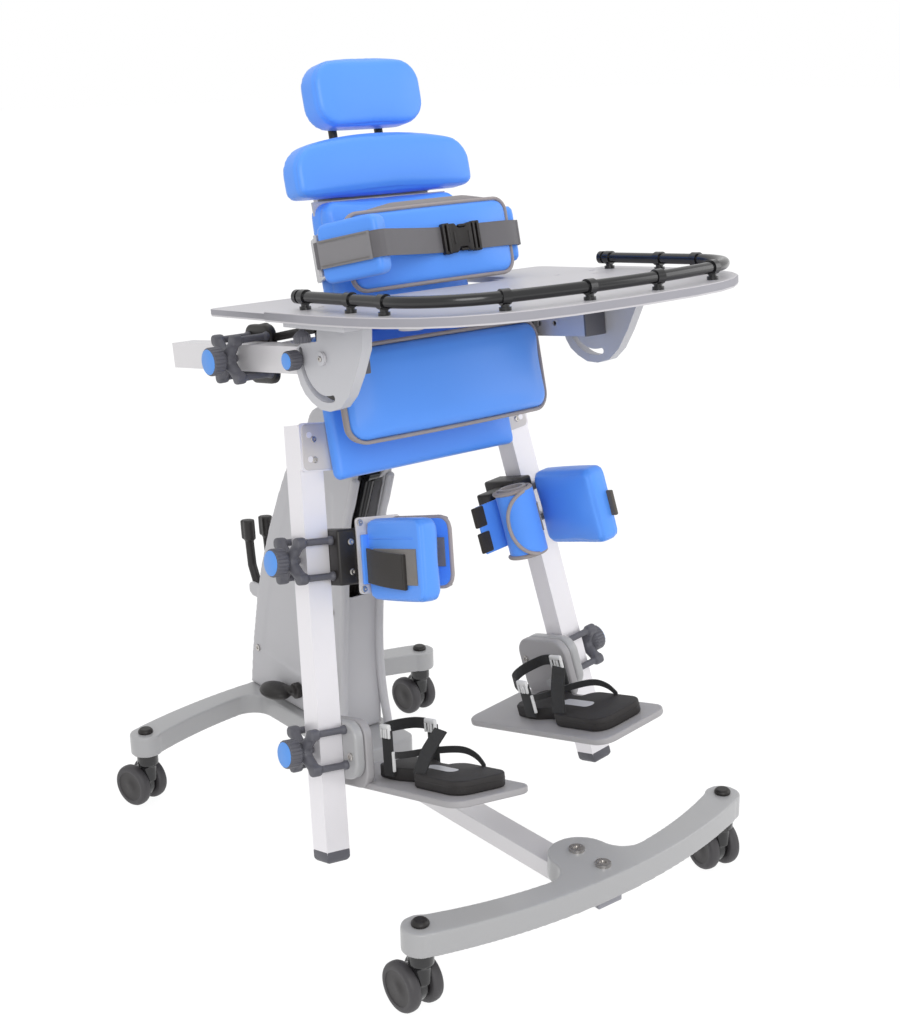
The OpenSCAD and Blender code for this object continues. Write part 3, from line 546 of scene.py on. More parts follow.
def ribbon(path, across, thick, rows=4):
    """Flat band: the path is swept by the vector across, given thickness and a UV map in metres."""
    bm = bmesh.new()
    verts = [bm.verts.new(p) for p in path]
    edges = [bm.edges.new(pair) for pair in zip(verts, verts[1:])]
    for _ in range(rows):
        made = bmesh.ops.extrude_edge_only(bm, edges=edges)["geom"]
        moved = new_verts(made)
        bmesh.ops.translate(bm, verts=moved, vec=Vector(across) / rows)
        kept = set(moved)
        edges = [g for g in made if isinstance(g, bmesh.types.BMEdge) and all(v in kept for v in g.verts)]
    bmesh.ops.recalc_face_normals(bm, faces=bm.faces)
    layer = bm.loops.layers.uv.new("UVMap")
    runs = [0.0]
    for a, b in zip(path, path[1:]):
        runs.append(runs[-1] + (b - a).length)
    direction = Vector(across).normalized()
    for face in bm.faces:
        for loop in face.loops:
            near = min(range(len(path)), key=lambda k: flat_gap(loop.vert.co, path[k], direction))
            loop[layer].uv = (runs[near] * 0.001, (loop.vert.co - path[near]).dot(direction) * 0.001)
    thicken(bm, thick)
    return bm


def tube(name, points, wide, deep, body, where, closed=True):
    """Oval binding along a path, drawn with the path's first two axes flat and the third as depth."""
    shape = bpy.data.curves.new(name + "_section", "CURVE")
    shape.dimensions = "2D"
    oval = shape.splines.new("POLY")
    oval.points.add(OVAL_SIDES - 1)
    for k in range(OVAL_SIDES):
        a = 2 * math.pi * k / OVAL_SIDES
        oval.points[k].co = (wide * math.cos(a) * 0.001, deep * math.sin(a) * 0.001, 0, 1)
    oval.use_cyclic_u = True
    section = add_object(name + "_section", shape)
    curve = bpy.data.curves.new(name + "_path", "CURVE")
    curve.dimensions = "3D"
    curve.twist_mode = "Z_UP"
    curve.bevel_mode = "OBJECT"
    curve.bevel_object = section
    curve.use_fill_caps = not closed
    run = curve.splines.new("POLY")
    run.points.add(len(points) - 1)
    for k, p in enumerate(points):
        run.points[k].co = (p[0] * 0.001, p[1] * 0.001, p[2] * 0.001, 1)
    run.use_cyclic_u = closed
    guide = add_object(name + "_path", curve)
    bm = opened(evaluated_mesh(guide))
    bpy.data.objects.remove(guide)
    bpy.data.objects.remove(section)
    bmesh.ops.remove_doubles(bm, verts=bm.verts, dist=1e-6)
    bmesh.ops.transform(bm, matrix=where, verts=bm.verts)
    bmesh.ops.recalc_face_normals(bm, faces=bm.faces)
    piece(name, bm, BINDING, body, sharp=60)


def piping(name, points, radius, body, where):
    """Round bound edge along a run of points."""
    bm = bmesh.new()
    for a, b in zip(points, points[1:]):
        reach = (b - a).normalized() * radius * 0.4
        rod(bm, a - reach, b + reach, radius, 12)
    put(name, fused(bm, 1.3, 3), where, BINDING, body, sharp=60)


# Cushions: a rounded block, swollen by a pressure cloth run, then shaped and seamed
SHRINK = 3.0
BACK_RIM = 3
CUSHION_VOXEL = 0.004
HELD_DEPTH = 0.0035
CLOTH_PRESSURE = 4.0
CLOTH_STEPS = 20
EVEN_ROUNDS = 14
SEAM_REACH = 0.80
SEAM_HALF = 0.0032
SEAM_DEPTH = 0.0017
PUCKER_HALF = 0.012
PUCKER_DEPTH = 0.00035
PUCKER_WAVES = 46


def cushion_block(w, h, t, r, r_low, rim):
    bm = bmesh.new()
    box(bm, (-w / 2, -t, -h / 2), (w / 2, 0, h / 2))
    for sign, radius in ((1, r), (-1, r_low)):
        upright = [e for e in bm.edges if abs(e.verts[0].co.y - e.verts[1].co.y) > t / 2
                   and e.verts[0].co.z * sign > 0 and abs(e.verts[0].co.x) > w / 2 - 0.01]
        bevel(bm, upright, radius, 8)
    for y, radius, segments in ((-t, rim, 4), (0, BACK_RIM, 2)):
        bevel(bm, [e for e in bm.edges if all(abs(v.co.y - y) < 0.01 for v in e.verts)], radius, segments)
    rescale(bm, 0.001)
    return bm


def swell(mesh, cap):
    """Runs the pressure cloth on the mesh and returns each point's capped move."""
    obj = add_object("swelling", mesh)
    held = obj.vertex_groups.new(name="held")
    for v in mesh.vertices:
        if v.co.y > -HELD_DEPTH:
            held.add([v.index], 1.0, "REPLACE")
    cloth = obj.modifiers.new("cloth", "CLOTH")
    cloth.settings.use_pressure = True
    cloth.settings.uniform_pressure_force = CLOTH_PRESSURE
    cloth.settings.effector_weights.gravity = 0
    cloth.settings.vertex_group_mass = "held"
    cloth.settings.tension_stiffness = 25
    cloth.settings.compression_stiffness = 25
    cloth.settings.bending_stiffness = 2
    cloth.settings.quality = 4
    cloth.collision_settings.use_collision = False
    scene = bpy.context.scene
    for step in range(1, CLOTH_STEPS + 1):
        scene.frame_set(step)
    result = evaluated_mesh(obj)
    moves = []
    for before, after in zip(mesh.vertices, result.vertices):
        move_by = after.co - before.co
        if move_by.length > cap:
            move_by *= cap / move_by.length
        moves.append(move_by.copy())
    scene.frame_set(1)
    bpy.data.objects.remove(obj)
    bpy.data.meshes.remove(result)
    return moves


def even_out(mesh, moves):
    """Averages each point's move with those of its neighbours, so that the cover lies without creases."""
    near = [[] for _ in moves]
    for link in mesh.edges:
        a, b = link.vertices
        near[a].append(b)
        near[b].append(a)
    for _ in range(EVEN_ROUNDS):
        moves = [sum((moves[k] for k in ks), m.copy()) / (len(ks) + 1) for m, ks in zip(moves, near)]
    return moves


def draw_seam(bm, w, h, level):
    """Sinks a narrow line round the sides and gathers the cover beside it."""
    for v in bm.verts:
        side = max(abs(v.co.x) / (w * 0.0005), abs(v.co.z) / (h * 0.0005))
        if side < SEAM_REACH:
            continue
        off = abs(v.co.y - level)
        run = math.atan2(v.co.z / h, v.co.x / w)
        inward = Vector((v.co.x, 0, v.co.z)).normalized()
        if off < SEAM_HALF:
            v.co -= inward * SEAM_DEPTH * (1 - off / SEAM_HALF)
        elif off < PUCKER_HALF:
            wave = 0.5 + 0.5 * math.sin(run * PUCKER_WAVES)
            v.co -= inward * PUCKER_DEPTH * wave * (1 - off / PUCKER_HALF)


def cushion(name, node, where, size, rim, arch=0.0, bow=0.0, seams=(), cap=0.006, r_low=None):
    """Padded piece in the place of a cushion node. seams are depths as shares of the thickness."""
    w, h, t, r = size
    bm = cushion_block(w - SHRINK, h - SHRINK, t - SHRINK * 0.5, r, r if r_low is None else r_low, rim)
    mesh = remeshed(bm, CUSHION_VOXEL)
    moves = even_out(mesh, swell(mesh, cap))
    for v, step in zip(mesh.vertices, moves):
        v.co += step
    bm = opened(mesh)
    relax(bm, 1)
    bmesh.ops.subdivide_edges(bm, edges=bm.edges, cuts=1, use_grid_fill=True, smooth=0.2)
    for seam in seams:
        draw_seam(bm, w, h, -t * seam * 0.001)
    for v in bm.verts:
        x, z = v.co.x * 1000, v.co.z * 1000
        v.co.z += arch * (1 - (2 * x / w) ** 2) * (0.5 + z / h) * 0.001
        v.co.y += bow * (2 * x / w) ** 2 * 0.001
    rescale(bm, 1000)
    obj = stand_in(name, node, bm, where, VINYL, sharp=70)


def rounded_loop(w, h, r, per_corner=10, straight=8):
    """Points of a rounded rectangle in order, flat in x and z."""
    x, z = w / 2 - r, h / 2 - r
    centres = [(x, z), (-x, z), (-x, -z), (x, -z)]
    out = []
    for q, (cx, cz) in enumerate(centres):
        for k in range(per_corner + 1):
            a = math.radians(90 * q + 90 * k / per_corner)
            out.append((cx + r * math.cos(a), cz + r * math.sin(a)))
        nx, nz = centres[(q + 1) % 4]
        start = out[-1]
        for k in range(1, straight):
            s = k / straight
            out.append((start[0] + (nx - cx) * s, start[1] + (nz - cz) * s))
    return out


def plate_line(x0, x1, z0, z1, r):
    cx, cz = (x0 + x1) / 2, (z0 + z1) / 2
    return [(cx + x, cz + z) for x, z in rounded_loop(x1 - x0, z1 - z0, r, 8, 2)]


def plate_x(x, line, thick, radius, segments):
    """Plate with its face at x, from a line in y and z."""
    return slab([(x, y, z) for y, z in line], (thick, 0, 0), radius, segments)


def plate_y(y, line, thick, radius, segments):
    """Plate with its back at y, from a line in x and z."""
    return slab([(x, y, z) for x, z in line], (0, -thick, 0), radius, segments)


def plate_z(z, line, thick, radius, segments):
    """Plate with its underside at z, from a line in x and y."""
    return slab([(x, y, z) for x, y in line], (0, 0, thick), radius, segments)


def edge_binding(name, node, where, size, depth, wide, deep, bow, grow=-1.0):
    """Bound edge round a pad; depth is where it lies in the pad's thickness."""
    w, h, _, r = size
    points = [(x, z, depth - bow * (2 * x / w) ** 2) for x, z in rounded_loop(w + grow, h + grow, r)]
    tube(name, points, wide, deep, BODY_OF[node], where @ turn(90, "X"))


# Main cushions
cushion("hip_cushion_soft", "hip_cushion", BODY @ move(0, -0.022, 0.016), (308, 196, 20, 8), 6, cap=0.003)
cushion("back_cushion_soft", "back_cushion", BODY @ move(0, -0.010, 0.201), (224, 168, 42, 18), 9,
        seams=(0.55,))
cushion("shoulder_cushion_soft", "shoulder_cushion", BODY @ move(0, -0.010, 0.321), (290, 65, 42, 30), 9,
        arch=17, seams=(0.80,), cap=0.003, r_low=12)
cushion("head_cushion_soft", "head_cushion", BODY @ move(0, 0.001, 0.4225), (176, 87, 43, 31), 9,
        arch=5, seams=(0.80,), cap=0.003)

# Chest support: front pad with bound edge and a grey lining behind it, two laterals
CHEST_TURN = -7
LATERAL_TURN = 20
CHEST = BODY @ move(0, -0.118, 0.207) @ turn(CHEST_TURN, "Z")
CHEST_SIZE = (244, 100, 16, 18)
CHEST_BOW = 10
cushion("chest_pad_soft", "chest_pad", CHEST, CHEST_SIZE, 7, bow=CHEST_BOW, cap=0.004)
edge_binding("chest_pad_binding", "chest_pad", CHEST, CHEST_SIZE, 8, 2.8, 4.6, bow=CHEST_BOW)
lining_line = [Vector((x, 1.5 + CHEST_BOW * (2 * x / CHEST_SIZE[0]) ** 2, -51.5)) for x in range(-84, 97, 6)]
lining = ribbon(lining_line, (0, 0, 110.5), 5.0)
for v in lining.verts:
    v.co.z *= 1 - 0.0028 * max(0.0, abs(v.co.x - 6) - 56)
put("chest_pad_lining", lining, CHEST, LINER, "frame")
LATERAL_R = BODY @ move(-0.170, -0.103, 0.209) @ turn(LATERAL_TURN, "Z")
LATERAL_L = BODY @ move(0.172, -0.038, 0.209) @ turn(-LATERAL_TURN, "Z") @ MIRROR
for side, lateral in (("r", LATERAL_R), ("l", LATERAL_L)):
    inner = lateral @ move(0, -0.050, 0) @ turn(90, "Z")
    cushion("chest_lateral_soft_" + side, "chest_lateral_" + side, inner, (96, 78, 30, 11), 9, cap=0.005,
            seams=(0.86,))

# Pelvic pad with its bound edge and layered top
PELVIC = BODY @ move(0, -0.114, 0.028)
PELVIC_SIZE = (333.6, 124, 22, 24)
PELVIC_BOW = 24
cushion("pelvic_pad_soft", "pelvic_pad", PELVIC, PELVIC_SIZE, 9, bow=PELVIC_BOW, cap=0.005)
edge_binding("pelvic_pad_binding", "pelvic_pad", PELVIC, PELVIC_SIZE, 12, 2.6, 4.0, bow=PELVIC_BOW)
edge_binding("pelvic_lining_binding", "pelvic_pad", PELVIC @ move(0, 0, 0.001), (328, 122, 22, 22), 2.5,
             2.6, 3.4, bow=23, grow=0)

# Knee cushions
for side, inward in (("r", 0.061), ("l", -0.011)):
    cushion("knee_cushion_soft_" + side, "knee_cushion_" + side,
            knee(side) @ move(inward, -0.104, -0.006) @ turn(90, "Z"), (127, 111, 34, 13), 9, cap=0.005,
            seams=(0.14, 0.86))


# Chest belt on its path round the laterals and the pad
def on_plan(x, y, origin, degrees, hand=1):
    """Point at the height of the belt, given in a frame turned in the plan of the body."""
    c, s = math.cos(math.radians(degrees)), math.sin(math.radians(degrees))
    return (origin[0] + hand * (x * c - y * s), origin[1] + x * s + y * c, BELT_Z)


def lat_r(x, y):
    return on_plan(x, y, (-170, -103), LATERAL_TURN)


def lat_l(x, y):
    return on_plan(x, y, (172, -38), LATERAL_TURN, -1)


def chest_at(x, y):
    return on_plan(x, y, (0, -118), CHEST_TURN)


BELT_Z = 192
BELT_PATH = [lat_r(2, 2), lat_r(-3.2, -4), lat_r(-3.6, -48), lat_r(-3.4, -92), lat_r(3, -102),
             lat_r(16, -103), (-70, -171, BELT_Z), (-20, -149, BELT_Z), chest_at(12, -23), chest_at(60, -20),
             chest_at(100, -14), chest_at(121, -8), lat_l(3, -103), lat_l(-3.4, -94), lat_l(-3.6, -48),
             lat_l(-3.2, -4)]
belt = ribbon(smooth_path(BELT_PATH, 8), (0, 0, 33), 2.0)
put("chest_belt_webbing", belt, BODY, WEBBING, "frame", ("chest_belt",))
tab_line = smooth_path([lat_r(-4.8, -7), lat_r(-5.4, -40), lat_r(-5.6, -72), lat_r(-5.2, -88)], 8)
tab = ribbon(tab_line, (0, 0, 35), 1.6)
put("chest_belt_tab", tab, BODY @ move(0, 0, -0.001), WEBBING_PALE, "frame")
STITCH_RUNS = ((lat_r(-6.4, -10), lat_r(-6.9, -50)), (lat_r(-6.9, -50), lat_r(-6.9, -85)))
stitches = []
for rise in (2.0, 31.0):
    for a, b in STITCH_RUNS:
        stitch = ribbon([Vector(a), Vector(b)], (0, 0, 1.1), 0.5, rows=1)
        bmesh.ops.translate(stitch, verts=stitch.verts, vec=(0, 0, rise))
        stitches.append(stitch)
put("chest_belt_stitches", join(stitches), BODY, LOOP_TAPE, "frame")

# Side-release buckle: slotted bar at each end, socket with waisted sides, two spring prongs
BUCKLE = BODY @ move(0, -0.118, 0.2085) @ turn(CHEST_TURN, "Z") @ move(0.030, -0.0205, 0)
SOCKET = [(-17, -19), (-8, -19), (-4, -12.5), (7, -12.5), (11, -18.5), (17, -18.5), (17, 18.5), (11, 18.5),
          (7, 12.5), (-4, 12.5), (-8, 19), (-17, 19)]
shell = plate_y(0, SOCKET, 10, 1.8, 3)
put("buckle_socket", shell, BUCKLE, BLACK_PLASTIC, "frame", ("belt_buckle",))
BUCKLE_BARS = (
    ((-28, -11, -20), (-24, -1, 20), 1.8),
    ((-22, -12, -20), (-17.5, -2, 20), 1.8),
    ((-28, -10, -20), (-17, -2, -16), 1.5),
    ((-28, -10, 16), (-17, -2, 20), 1.5),
    ((18, -11, -19.5), (22, -1, 19.5), 1.8),
    ((24.5, -11, -19.5), (28.5, -2, 19.5), 1.8),
    ((17, -10, -19.5), (28, -2, -16), 1.5),
    ((17, -10, 16), (28, -2, 19.5), 1.5),
    ((-2, -8.4, 13.4), (14, -2.4, 17.4), 1.6),
    ((-2, -8.4, -17.4), (14, -2.4, -13.4), 1.6),
    ((-12, -11, -8), (-9.5, -9, 8), 0.8),
    ((10, -11, -8), (12.5, -9, 8), 0.8),
)
bars = join([soft_box(low, high, radius) for low, high, radius in BUCKLE_BARS])
put("buckle_bars", bars, BUCKLE, BLACK_PLASTIC, "frame")

# Rigid pieces: castings fused and softened, the rest with rounded edges
cast("rear_foot", 1.8, 6, CAST_PAINT)
cast("front_foot", 1.8, 6, CAST_PAINT, [((-21, -423.4, 88), (21, -404, 98))])
cast("tower_shell", 3.0, 5, TOWER_PAINT)
for node, width, mat in (
    ("base_beam", 2.0, BAR_ALU),
    ("side_bars", 1.6, BAR_ALU),
    ("backrest_frame", 1.5, TOWER_PAINT),
    ("chest_brackets", 0.8, TOWER_PAINT),
    ("tray_brackets", 1.6, PLATE_PAINT),
    ("tray_board", 2.4, TRAY_TOP),
    ("castor_caps", 1.2, BLACK_PLASTIC),
    ("head_rods", 1.2, BLACK_PLASTIC),
):
    softened(node, width, mat)

# Edge band: the sides of the tray board, a little proud of it and drawn in from its faces
BAND_PROUD = 0.0005
BAND_THICK = 0.0009
BAND_DRAW = 0.28
band = opened(NODES["tray_board"].data)
flat_up = TRAY.to_3x3() @ Vector((0, 0, 1))
level = [f for f in band.faces if abs(f.normal.dot(flat_up)) > 0.5]
bmesh.ops.delete(band, geom=level, context="FACES")
bmesh.ops.remove_doubles(band, verts=band.verts, dist=WELD)
band.normal_update()
for v in band.verts:
    v.co += v.normal * BAND_PROUD
thicken(band, BAND_THICK)
middle = sum(v.co.dot(flat_up) for v in band.verts) / len(band.verts)
for v in band.verts:
    v.co -= flat_up * (v.co.dot(flat_up) - middle) * BAND_DRAW
piece("tray_edge_band", band, TRAY_BAND, BODY_OF["tray_board"], sharp=45)

# Nodes that keep their own shape and take a finish
for node, mat in (("strut_cylinder", BLACK_PLASTIC), ("strut_rod", BLACK_RAIL), ("tray_rail", BLACK_RAIL),
                  ("chassis_screws", STEEL)):
    paint(node, mat)

# Pedal: hub and arm beside the tower with an oval paddle
PEDAL = move(0, 0.268, 0.158)
pedal = bmesh.new()
disc_x(pedal, 13, -48, -37)
rod(pedal, (-43, 2, 0), (-50, 26, -4), 7)
paddle = bmesh.ops.create_uvsphere(pedal, u_segments=40, v_segments=20, radius=1.0)["verts"]
bmesh.ops.scale(pedal, vec=(23, 33, 12), verts=paddle)
bmesh.ops.translate(pedal, vec=(-59, 38, -8), verts=paddle)
stand_in("foot_pedal_paddle", "foot_pedal", fused(pedal, 1.6, 4), PEDAL, BLACK_PLASTIC)

# Twin-grip lever: bent rods with moulded grips
LEVER = move(0, 0.412, 0.288)
lever = bmesh.new()
disc_x(lever, 10, -23, 23)
for x in (-17, 17):
    rod(lever, (x, 2, 2), (x, 19, 36), 7.4)
    rod(lever, (x, 18, 33), (x, 24, 84), 7.4)
    rod(lever, (x, 20, 77), (x, 22, 111), 9.5)
    rod(lever, (x, 30, 77), (x, 32, 109), 9.0)
stand_in("release_lever_grips", "release_lever", fused(lever, 1.6, 5), LEVER, BLACK_PLASTIC)

# Ribs along the front edges of the tower
RIB_LINE = [(31, 97, 540), (31, 111, 500), (31.5, 125, 459), (32, 137, 334), (33, 143, 250), (36, 142, 185),
            (42, 138, 124)]
for side, sign in (("r", -1), ("l", 1)):
    run = smooth_path([(sign * x, y, z) for x, y, z in RIB_LINE], 4)
    ribs = bmesh.new()
    for a, b in zip(run, run[1:]):
        rod(ribs, a, b + (b - a) * 0.2, 7.0)
    put("tower_rib_" + side, fused(ribs, 2.0, 4), WHOLE, TOWER_PAINT, BODY_OF["tower_shell"])


# End caps of the tubes, hip plates and their screws
def domed_cap(low, high, dome, rim):
    """Tube cap with a well rounded lower end."""
    bm = bmesh.new()
    box(bm, low, high)
    bevel(bm, [e for e in bm.edges if all(abs(v.co.z - low[2]) < 0.01 for v in e.verts)], dome, 5)
    bevel(bm, edges_over(bm, 50), rim, 2)
    return bm


for side in SIDES:
    limb = leg(side)
    end_plane = (limb @ Vector((0, 0, -0.570)), limb.to_3x3() @ Vector((0, 0, -1)))
    softened("leg_tube_" + side, 1.8, LEG_ALU, cut=end_plane)
    cap = domed_cap((-18, -18, -582.6), (18, 18, -566), 6.5, 1.8)
    put("leg_end_cap_" + side, cap, limb, SLATE, "leg_" + side)
    cap = soft_box((-18, -442.6, -18), (18, -437.8, 18), 1.6)
    put("bar_end_cap_" + side, cap, HALF[side] @ BAR @ move(BAR_X, 0, 0), SLATE, "frame")
    plate = plate_y(-21.1, plate_line(-14.5, 74, -60.5, 0.5, 8), 1.2, 0.5, 2)
    put("leg_hip_plate_" + side, plate, limb, PLATE_METAL, "leg_" + side)
    spots = [limb @ move(0.003, -0.0222, z) @ turn(90, "X") for z in (-0.020, -0.047)]
    screws("leg_plate_screws_" + side, spots, "leg_" + side, 4.2, 1.6)
cap = soft_box((-20.5, -409.2, 69.6), (20.5, -401, 91), 1.6)
put("beam_end_cap", cap, WHOLE, BEAM_CAP, "chassis")


# Ribbed clamp knobs with a blue face
def knob(name, node, where, radius, x0, x1, ribs=22, shaft=(5.0, 21), face=True):
    bm = bmesh.new()
    profile = [(radius - 2.4, x0), (radius - 0.7, x0 + 0.9), (radius, x0 + 2.6), (radius, x1 - 6),
               (radius - 2.5, x1 - 2.5), (radius - 7.0, x1 + 1.0)]
    sides = ribs * 8
    rings = []
    for r, x in profile:
        deep = 0.9 if r > radius - 1 else 0.25
        ring = []
        for k in range(sides):
            a = 2 * math.pi * k / sides
            reach = r - deep * max(0.0, math.cos(ribs * a)) ** 2
            ring.append(bm.verts.new((x, reach * math.cos(a), reach * math.sin(a))))
        rings.append(ring)
    for low, high in zip(rings, rings[1:]):
        for k in range(sides):
            bm.faces.new((low[k], low[(k + 1) % sides], high[(k + 1) % sides], high[k]))
    bm.faces.new(rings[0])
    bm.faces.new(rings[-1])
    disc_x(bm, shaft[0], x1, x1 + shaft[1])
    bmesh.ops.recalc_face_normals(bm, faces=bm.faces)
    stand_in(name, node, bm, where, SLATE, sharp=35)
    if not face:
        return
    bm = bmesh.new()
    disc_x(bm, radius - 2.2, x0 - 0.7, x0 + 0.6, sides=56)
    rim = [e for e in bm.edges if all(abs(v.co.x - x0 + 0.7) < 0.01 for v in e.verts)]
    bevel(bm, rim, 0.6, 2)
    put(name + "_face", bm, where, KNOB_BLUE, BODY_OF[node], sharp=30)


for side in SIDES:
    for part, here in (("knee", knee(side)), ("foot", foot(side)), ("hip", hip(side))):
        knob(part + "_knob_ribbed_" + side, part + "_knob_" + side, here, 19, -62, -40)
    half = HALF[side]
    beside = half @ move(0, -0.0856, 0.7702)
    knob("tray_knob_ribbed_" + side, "tray_knob_" + side, beside, 12.5, -251, -230, 16)
    under = half @ TRAY @ move(-0.258, 0.002, -0.0185) @ turn(-90, "Y")
    knob("slide_knob_ribbed_" + side, "slide_knob_" + side, under, 10.5, -20, -6, 14, (3.0, 11.5), False)
    pin = half @ move(*TRAY_PIN) @ turn(-90, "Y")
    screws("tray_pin_cover_" + side, [pin], "frame", 8.4, 0.7, PLATE_PAINT)
    screws("tray_pin_screw_" + side, [pin @ move(0, 0, 0.0004)], "frame", 3.6, 1.8)


# Four-lobed clamp yokes round the tubes, with the knee, foot and hip holders on them
YOKE_Y = 25
YOKE_Z = 23.5
HIP_ARM = ((40, 84, 64, 142, 12), (-96, 54, 115, 126, 3), (-96, -70, 24, 126, 5))


def yoke(name, where, body, swap=()):
    bm = bmesh.new()
    disc_x(bm, 13.5, -40, -26)
    for sy in (-1, 1):
        for sz in (-1, 1):
            y, z = sy * YOKE_Y, sz * YOKE_Z
            rod(bm, (-35, y, z), (20, y, z), 5.0)
            rod(bm, (-38, y, z), (-24, y, z), 8.0)
            rod(bm, (-33, y * 0.2, z * 0.2), (-31, y, z), 8.6, radius2=7.4)
            rod(bm, (14, y, z), (19, y, z), 6.6)
    put(name, fused(bm, 1.5, 4), where, SLATE, body, swap, sharp=60)


for side in SIDES:
    here = knee(side)
    body = "knee_" + side
    yoke("knee_yoke_" + side, here, body, ("knee_clamp_" + side,))
    rise = 0 if side == "r" else 8
    block = join([soft_box((18, -40, rise - 37), (52, 30, rise + 37), 3.5),
                  soft_box((50, -34, rise - 30), (96, -4, rise + 30), 3.0)])
    put("knee_block_" + side, block, here, BLACK_PLASTIC, body)
    if side == "r":
        sheet = plate_y(-40.2, plate_line(46, 118, -51, 51, 5), 2.8, 0.7, 2)
        put("knee_plate_r", sheet, here, PLATE_METAL, body)
        spots = [here @ move(0.0525, -0.043, z) @ turn(90, "X") for z in (-0.0445, 0.0445)]
        spots += [here @ move(0.038, -0.040, z) @ turn(90, "X") for z in (-0.020, 0.020)]
    else:
        spots = [here @ move(0.030, -0.040, z) @ turn(90, "X") for z in (-0.014, 0.030)]
    screws("knee_screws_" + side, spots, body, 4.4, 2.4)

    here = foot(side)
    body = "foot_" + side
    yoke("foot_yoke_" + side, here, body)
    ankle = plate_x(18, plate_line(-48, 58, -44, 34, 24), 15.4, 4.0, 4)
    disc_x(ankle, 6, 32, 56, -8, -30)
    put("ankle_plate_" + side, ankle, here, CAST_PAINT, body, ("foot_clamp_" + side,), sharp=45)
    screws("ankle_screws_" + side, [here @ move(0.018, -0.035, -0.012) @ turn(-90, "Y")], body, 5.5)
    board = plate_z(-59, plate_line(38.5, 166.5, -235, 70, 24), 9, 2.4, 3)
    upright = plate_x(34, plate_line(-48, 58, -58, 34, 24), 13, 3.0, 4)
    rod(board, (102, -150, -69), (102, -150, -58), 13)
    board = join([board, upright])
    put("foot_board_" + side, board, here, BOARD_PAINT, "footplate_" + side,
        ("footplate_" + side,), sharp=45)
    spots = [here @ move(0.047, 0.044, 0.002) @ turn(90, "Y")]
    screws("foot_plate_screws_" + side, spots, "footplate_" + side)

    here = hip(side)
    yoke("hip_yoke_" + side, here, "pelvic", ("hip_clamps",) if side == "r" else ())
    block = plate_x(18, plate_line(-40, 40, -37, 29, 15), 13, 4.0, 4)
    put("hip_block_" + side, block, here, BLACK_PLASTIC, "pelvic")
    arm = join([plate_x(-172, plate_line(*corners), 5, 1.0, 2) for corners in HIP_ARM])
    put("hip_arm_" + side, arm, BODY @ HALF[side], BLACK_PLASTIC, "pelvic", sharp=45)

# Castors: rounded tyre and flat hub disc for each wheel
CASTOR_X = 0.267
CASTOR_Y = 0.356
AXLE_Z = 0.033
CASTORS = {"fr": (-1, -1, 91), "fl": (1, -1, 80), "rr": (-1, 1, 106), "rl": (1, 1, 96)}
TRAIL = 18
TYRE_LINE = [(23.6, 25.0), (25.0, 25.5), (28.6, 25.4), (31.0, 24.2), (32.5, 21.6), (33.0, 18.4), (33.0, 15.8),
             (32.5, 12.6), (31.0, 10.0), (28.6, 8.8), (23.6, 8.8), (23.6, 25.0)]
HUB_LINE = [(23.7, 24.6), (22.8, 24.2), (8.0, 24.5), (7.2, 25.0), (0.01, 25.2), (0.01, 9.0), (23.7, 9.0),
            (23.7, 24.6)]
for key, (sx, sy, yaw) in CASTORS.items():
    axle = move(sx * CASTOR_X, sy * CASTOR_Y, 0) @ turn(yaw, "Z") @ move(TRAIL * 0.001, 0, AXLE_Z)
    wheels = (("tyres_", TYRE_LINE, TYRE, ("castor_wheels_" + key,)), ("hubs_", HUB_LINE, HUB, ()))
    for label, line, mat, swap in wheels:
        bm = join([lathe([(r, side * y, 0) for r, y in line], (0, 1, 0), 64) for side in (-1, 1)])
        put(label + key, bm, axle, mat, "wheels_" + key, swap, sharp=35)
    hood = bmesh.new()
    rod(hood, (-TRAIL, 0, 8), (-TRAIL, 0, 56), 12.5)
    rod(hood, (0, -7.2, 0), (0, 7.2, 0), 25)
    rod(hood, (-TRAIL, 0, 34), (6, 0, 18), 7.2)
    rod(hood, (-TRAIL, -13, 38), (-TRAIL, 13, 38), 7)
    rod(hood, (-TRAIL, 0, 35), (-TRAIL, 0, 54), 16.5)
    stand_in("castor_hood_" + key, "castor_fork_" + key, fused(hood, 1.5, 5), axle, BLACK_RAIL, sharp=60)

# Near knee: strap panel behind the cushion with bound edge, tapes on the cushion
KNEE_R = knee("r")
STRAP_END = -141
STRAP_HALF = 46
STRAP_CORNER = 16.0
STRAP_BENDS = ((108, -44), (108, -64), (113, -98), (125, STRAP_END))
strap_line = smooth_path([(x, y, -STRAP_HALF) for x, y in STRAP_BENDS], 14)


def corner_trim(y):
    """How far the rounded corner of the strap panel draws in at this reach."""
    near_end = max(0.0, STRAP_END + STRAP_CORNER - y)
    return STRAP_CORNER - math.sqrt(max(0.0, STRAP_CORNER ** 2 - near_end ** 2))


def strap_layer(name, path, height, thick, mat, swap=()):
    layer = ribbon(path, (0, 0, height), thick, rows=8)
    inner_face = min(v.co.x for v in layer.verts)
    bmesh.ops.translate(layer, vec=(path[0].x - inner_face, 0, 0), verts=layer.verts)
    for v in layer.verts:
        v.co.z *= 1 - corner_trim(min(max(v.co.y, STRAP_END), 0)) / 48
    put(name, layer, KNEE_R, mat, "knee_r", swap)


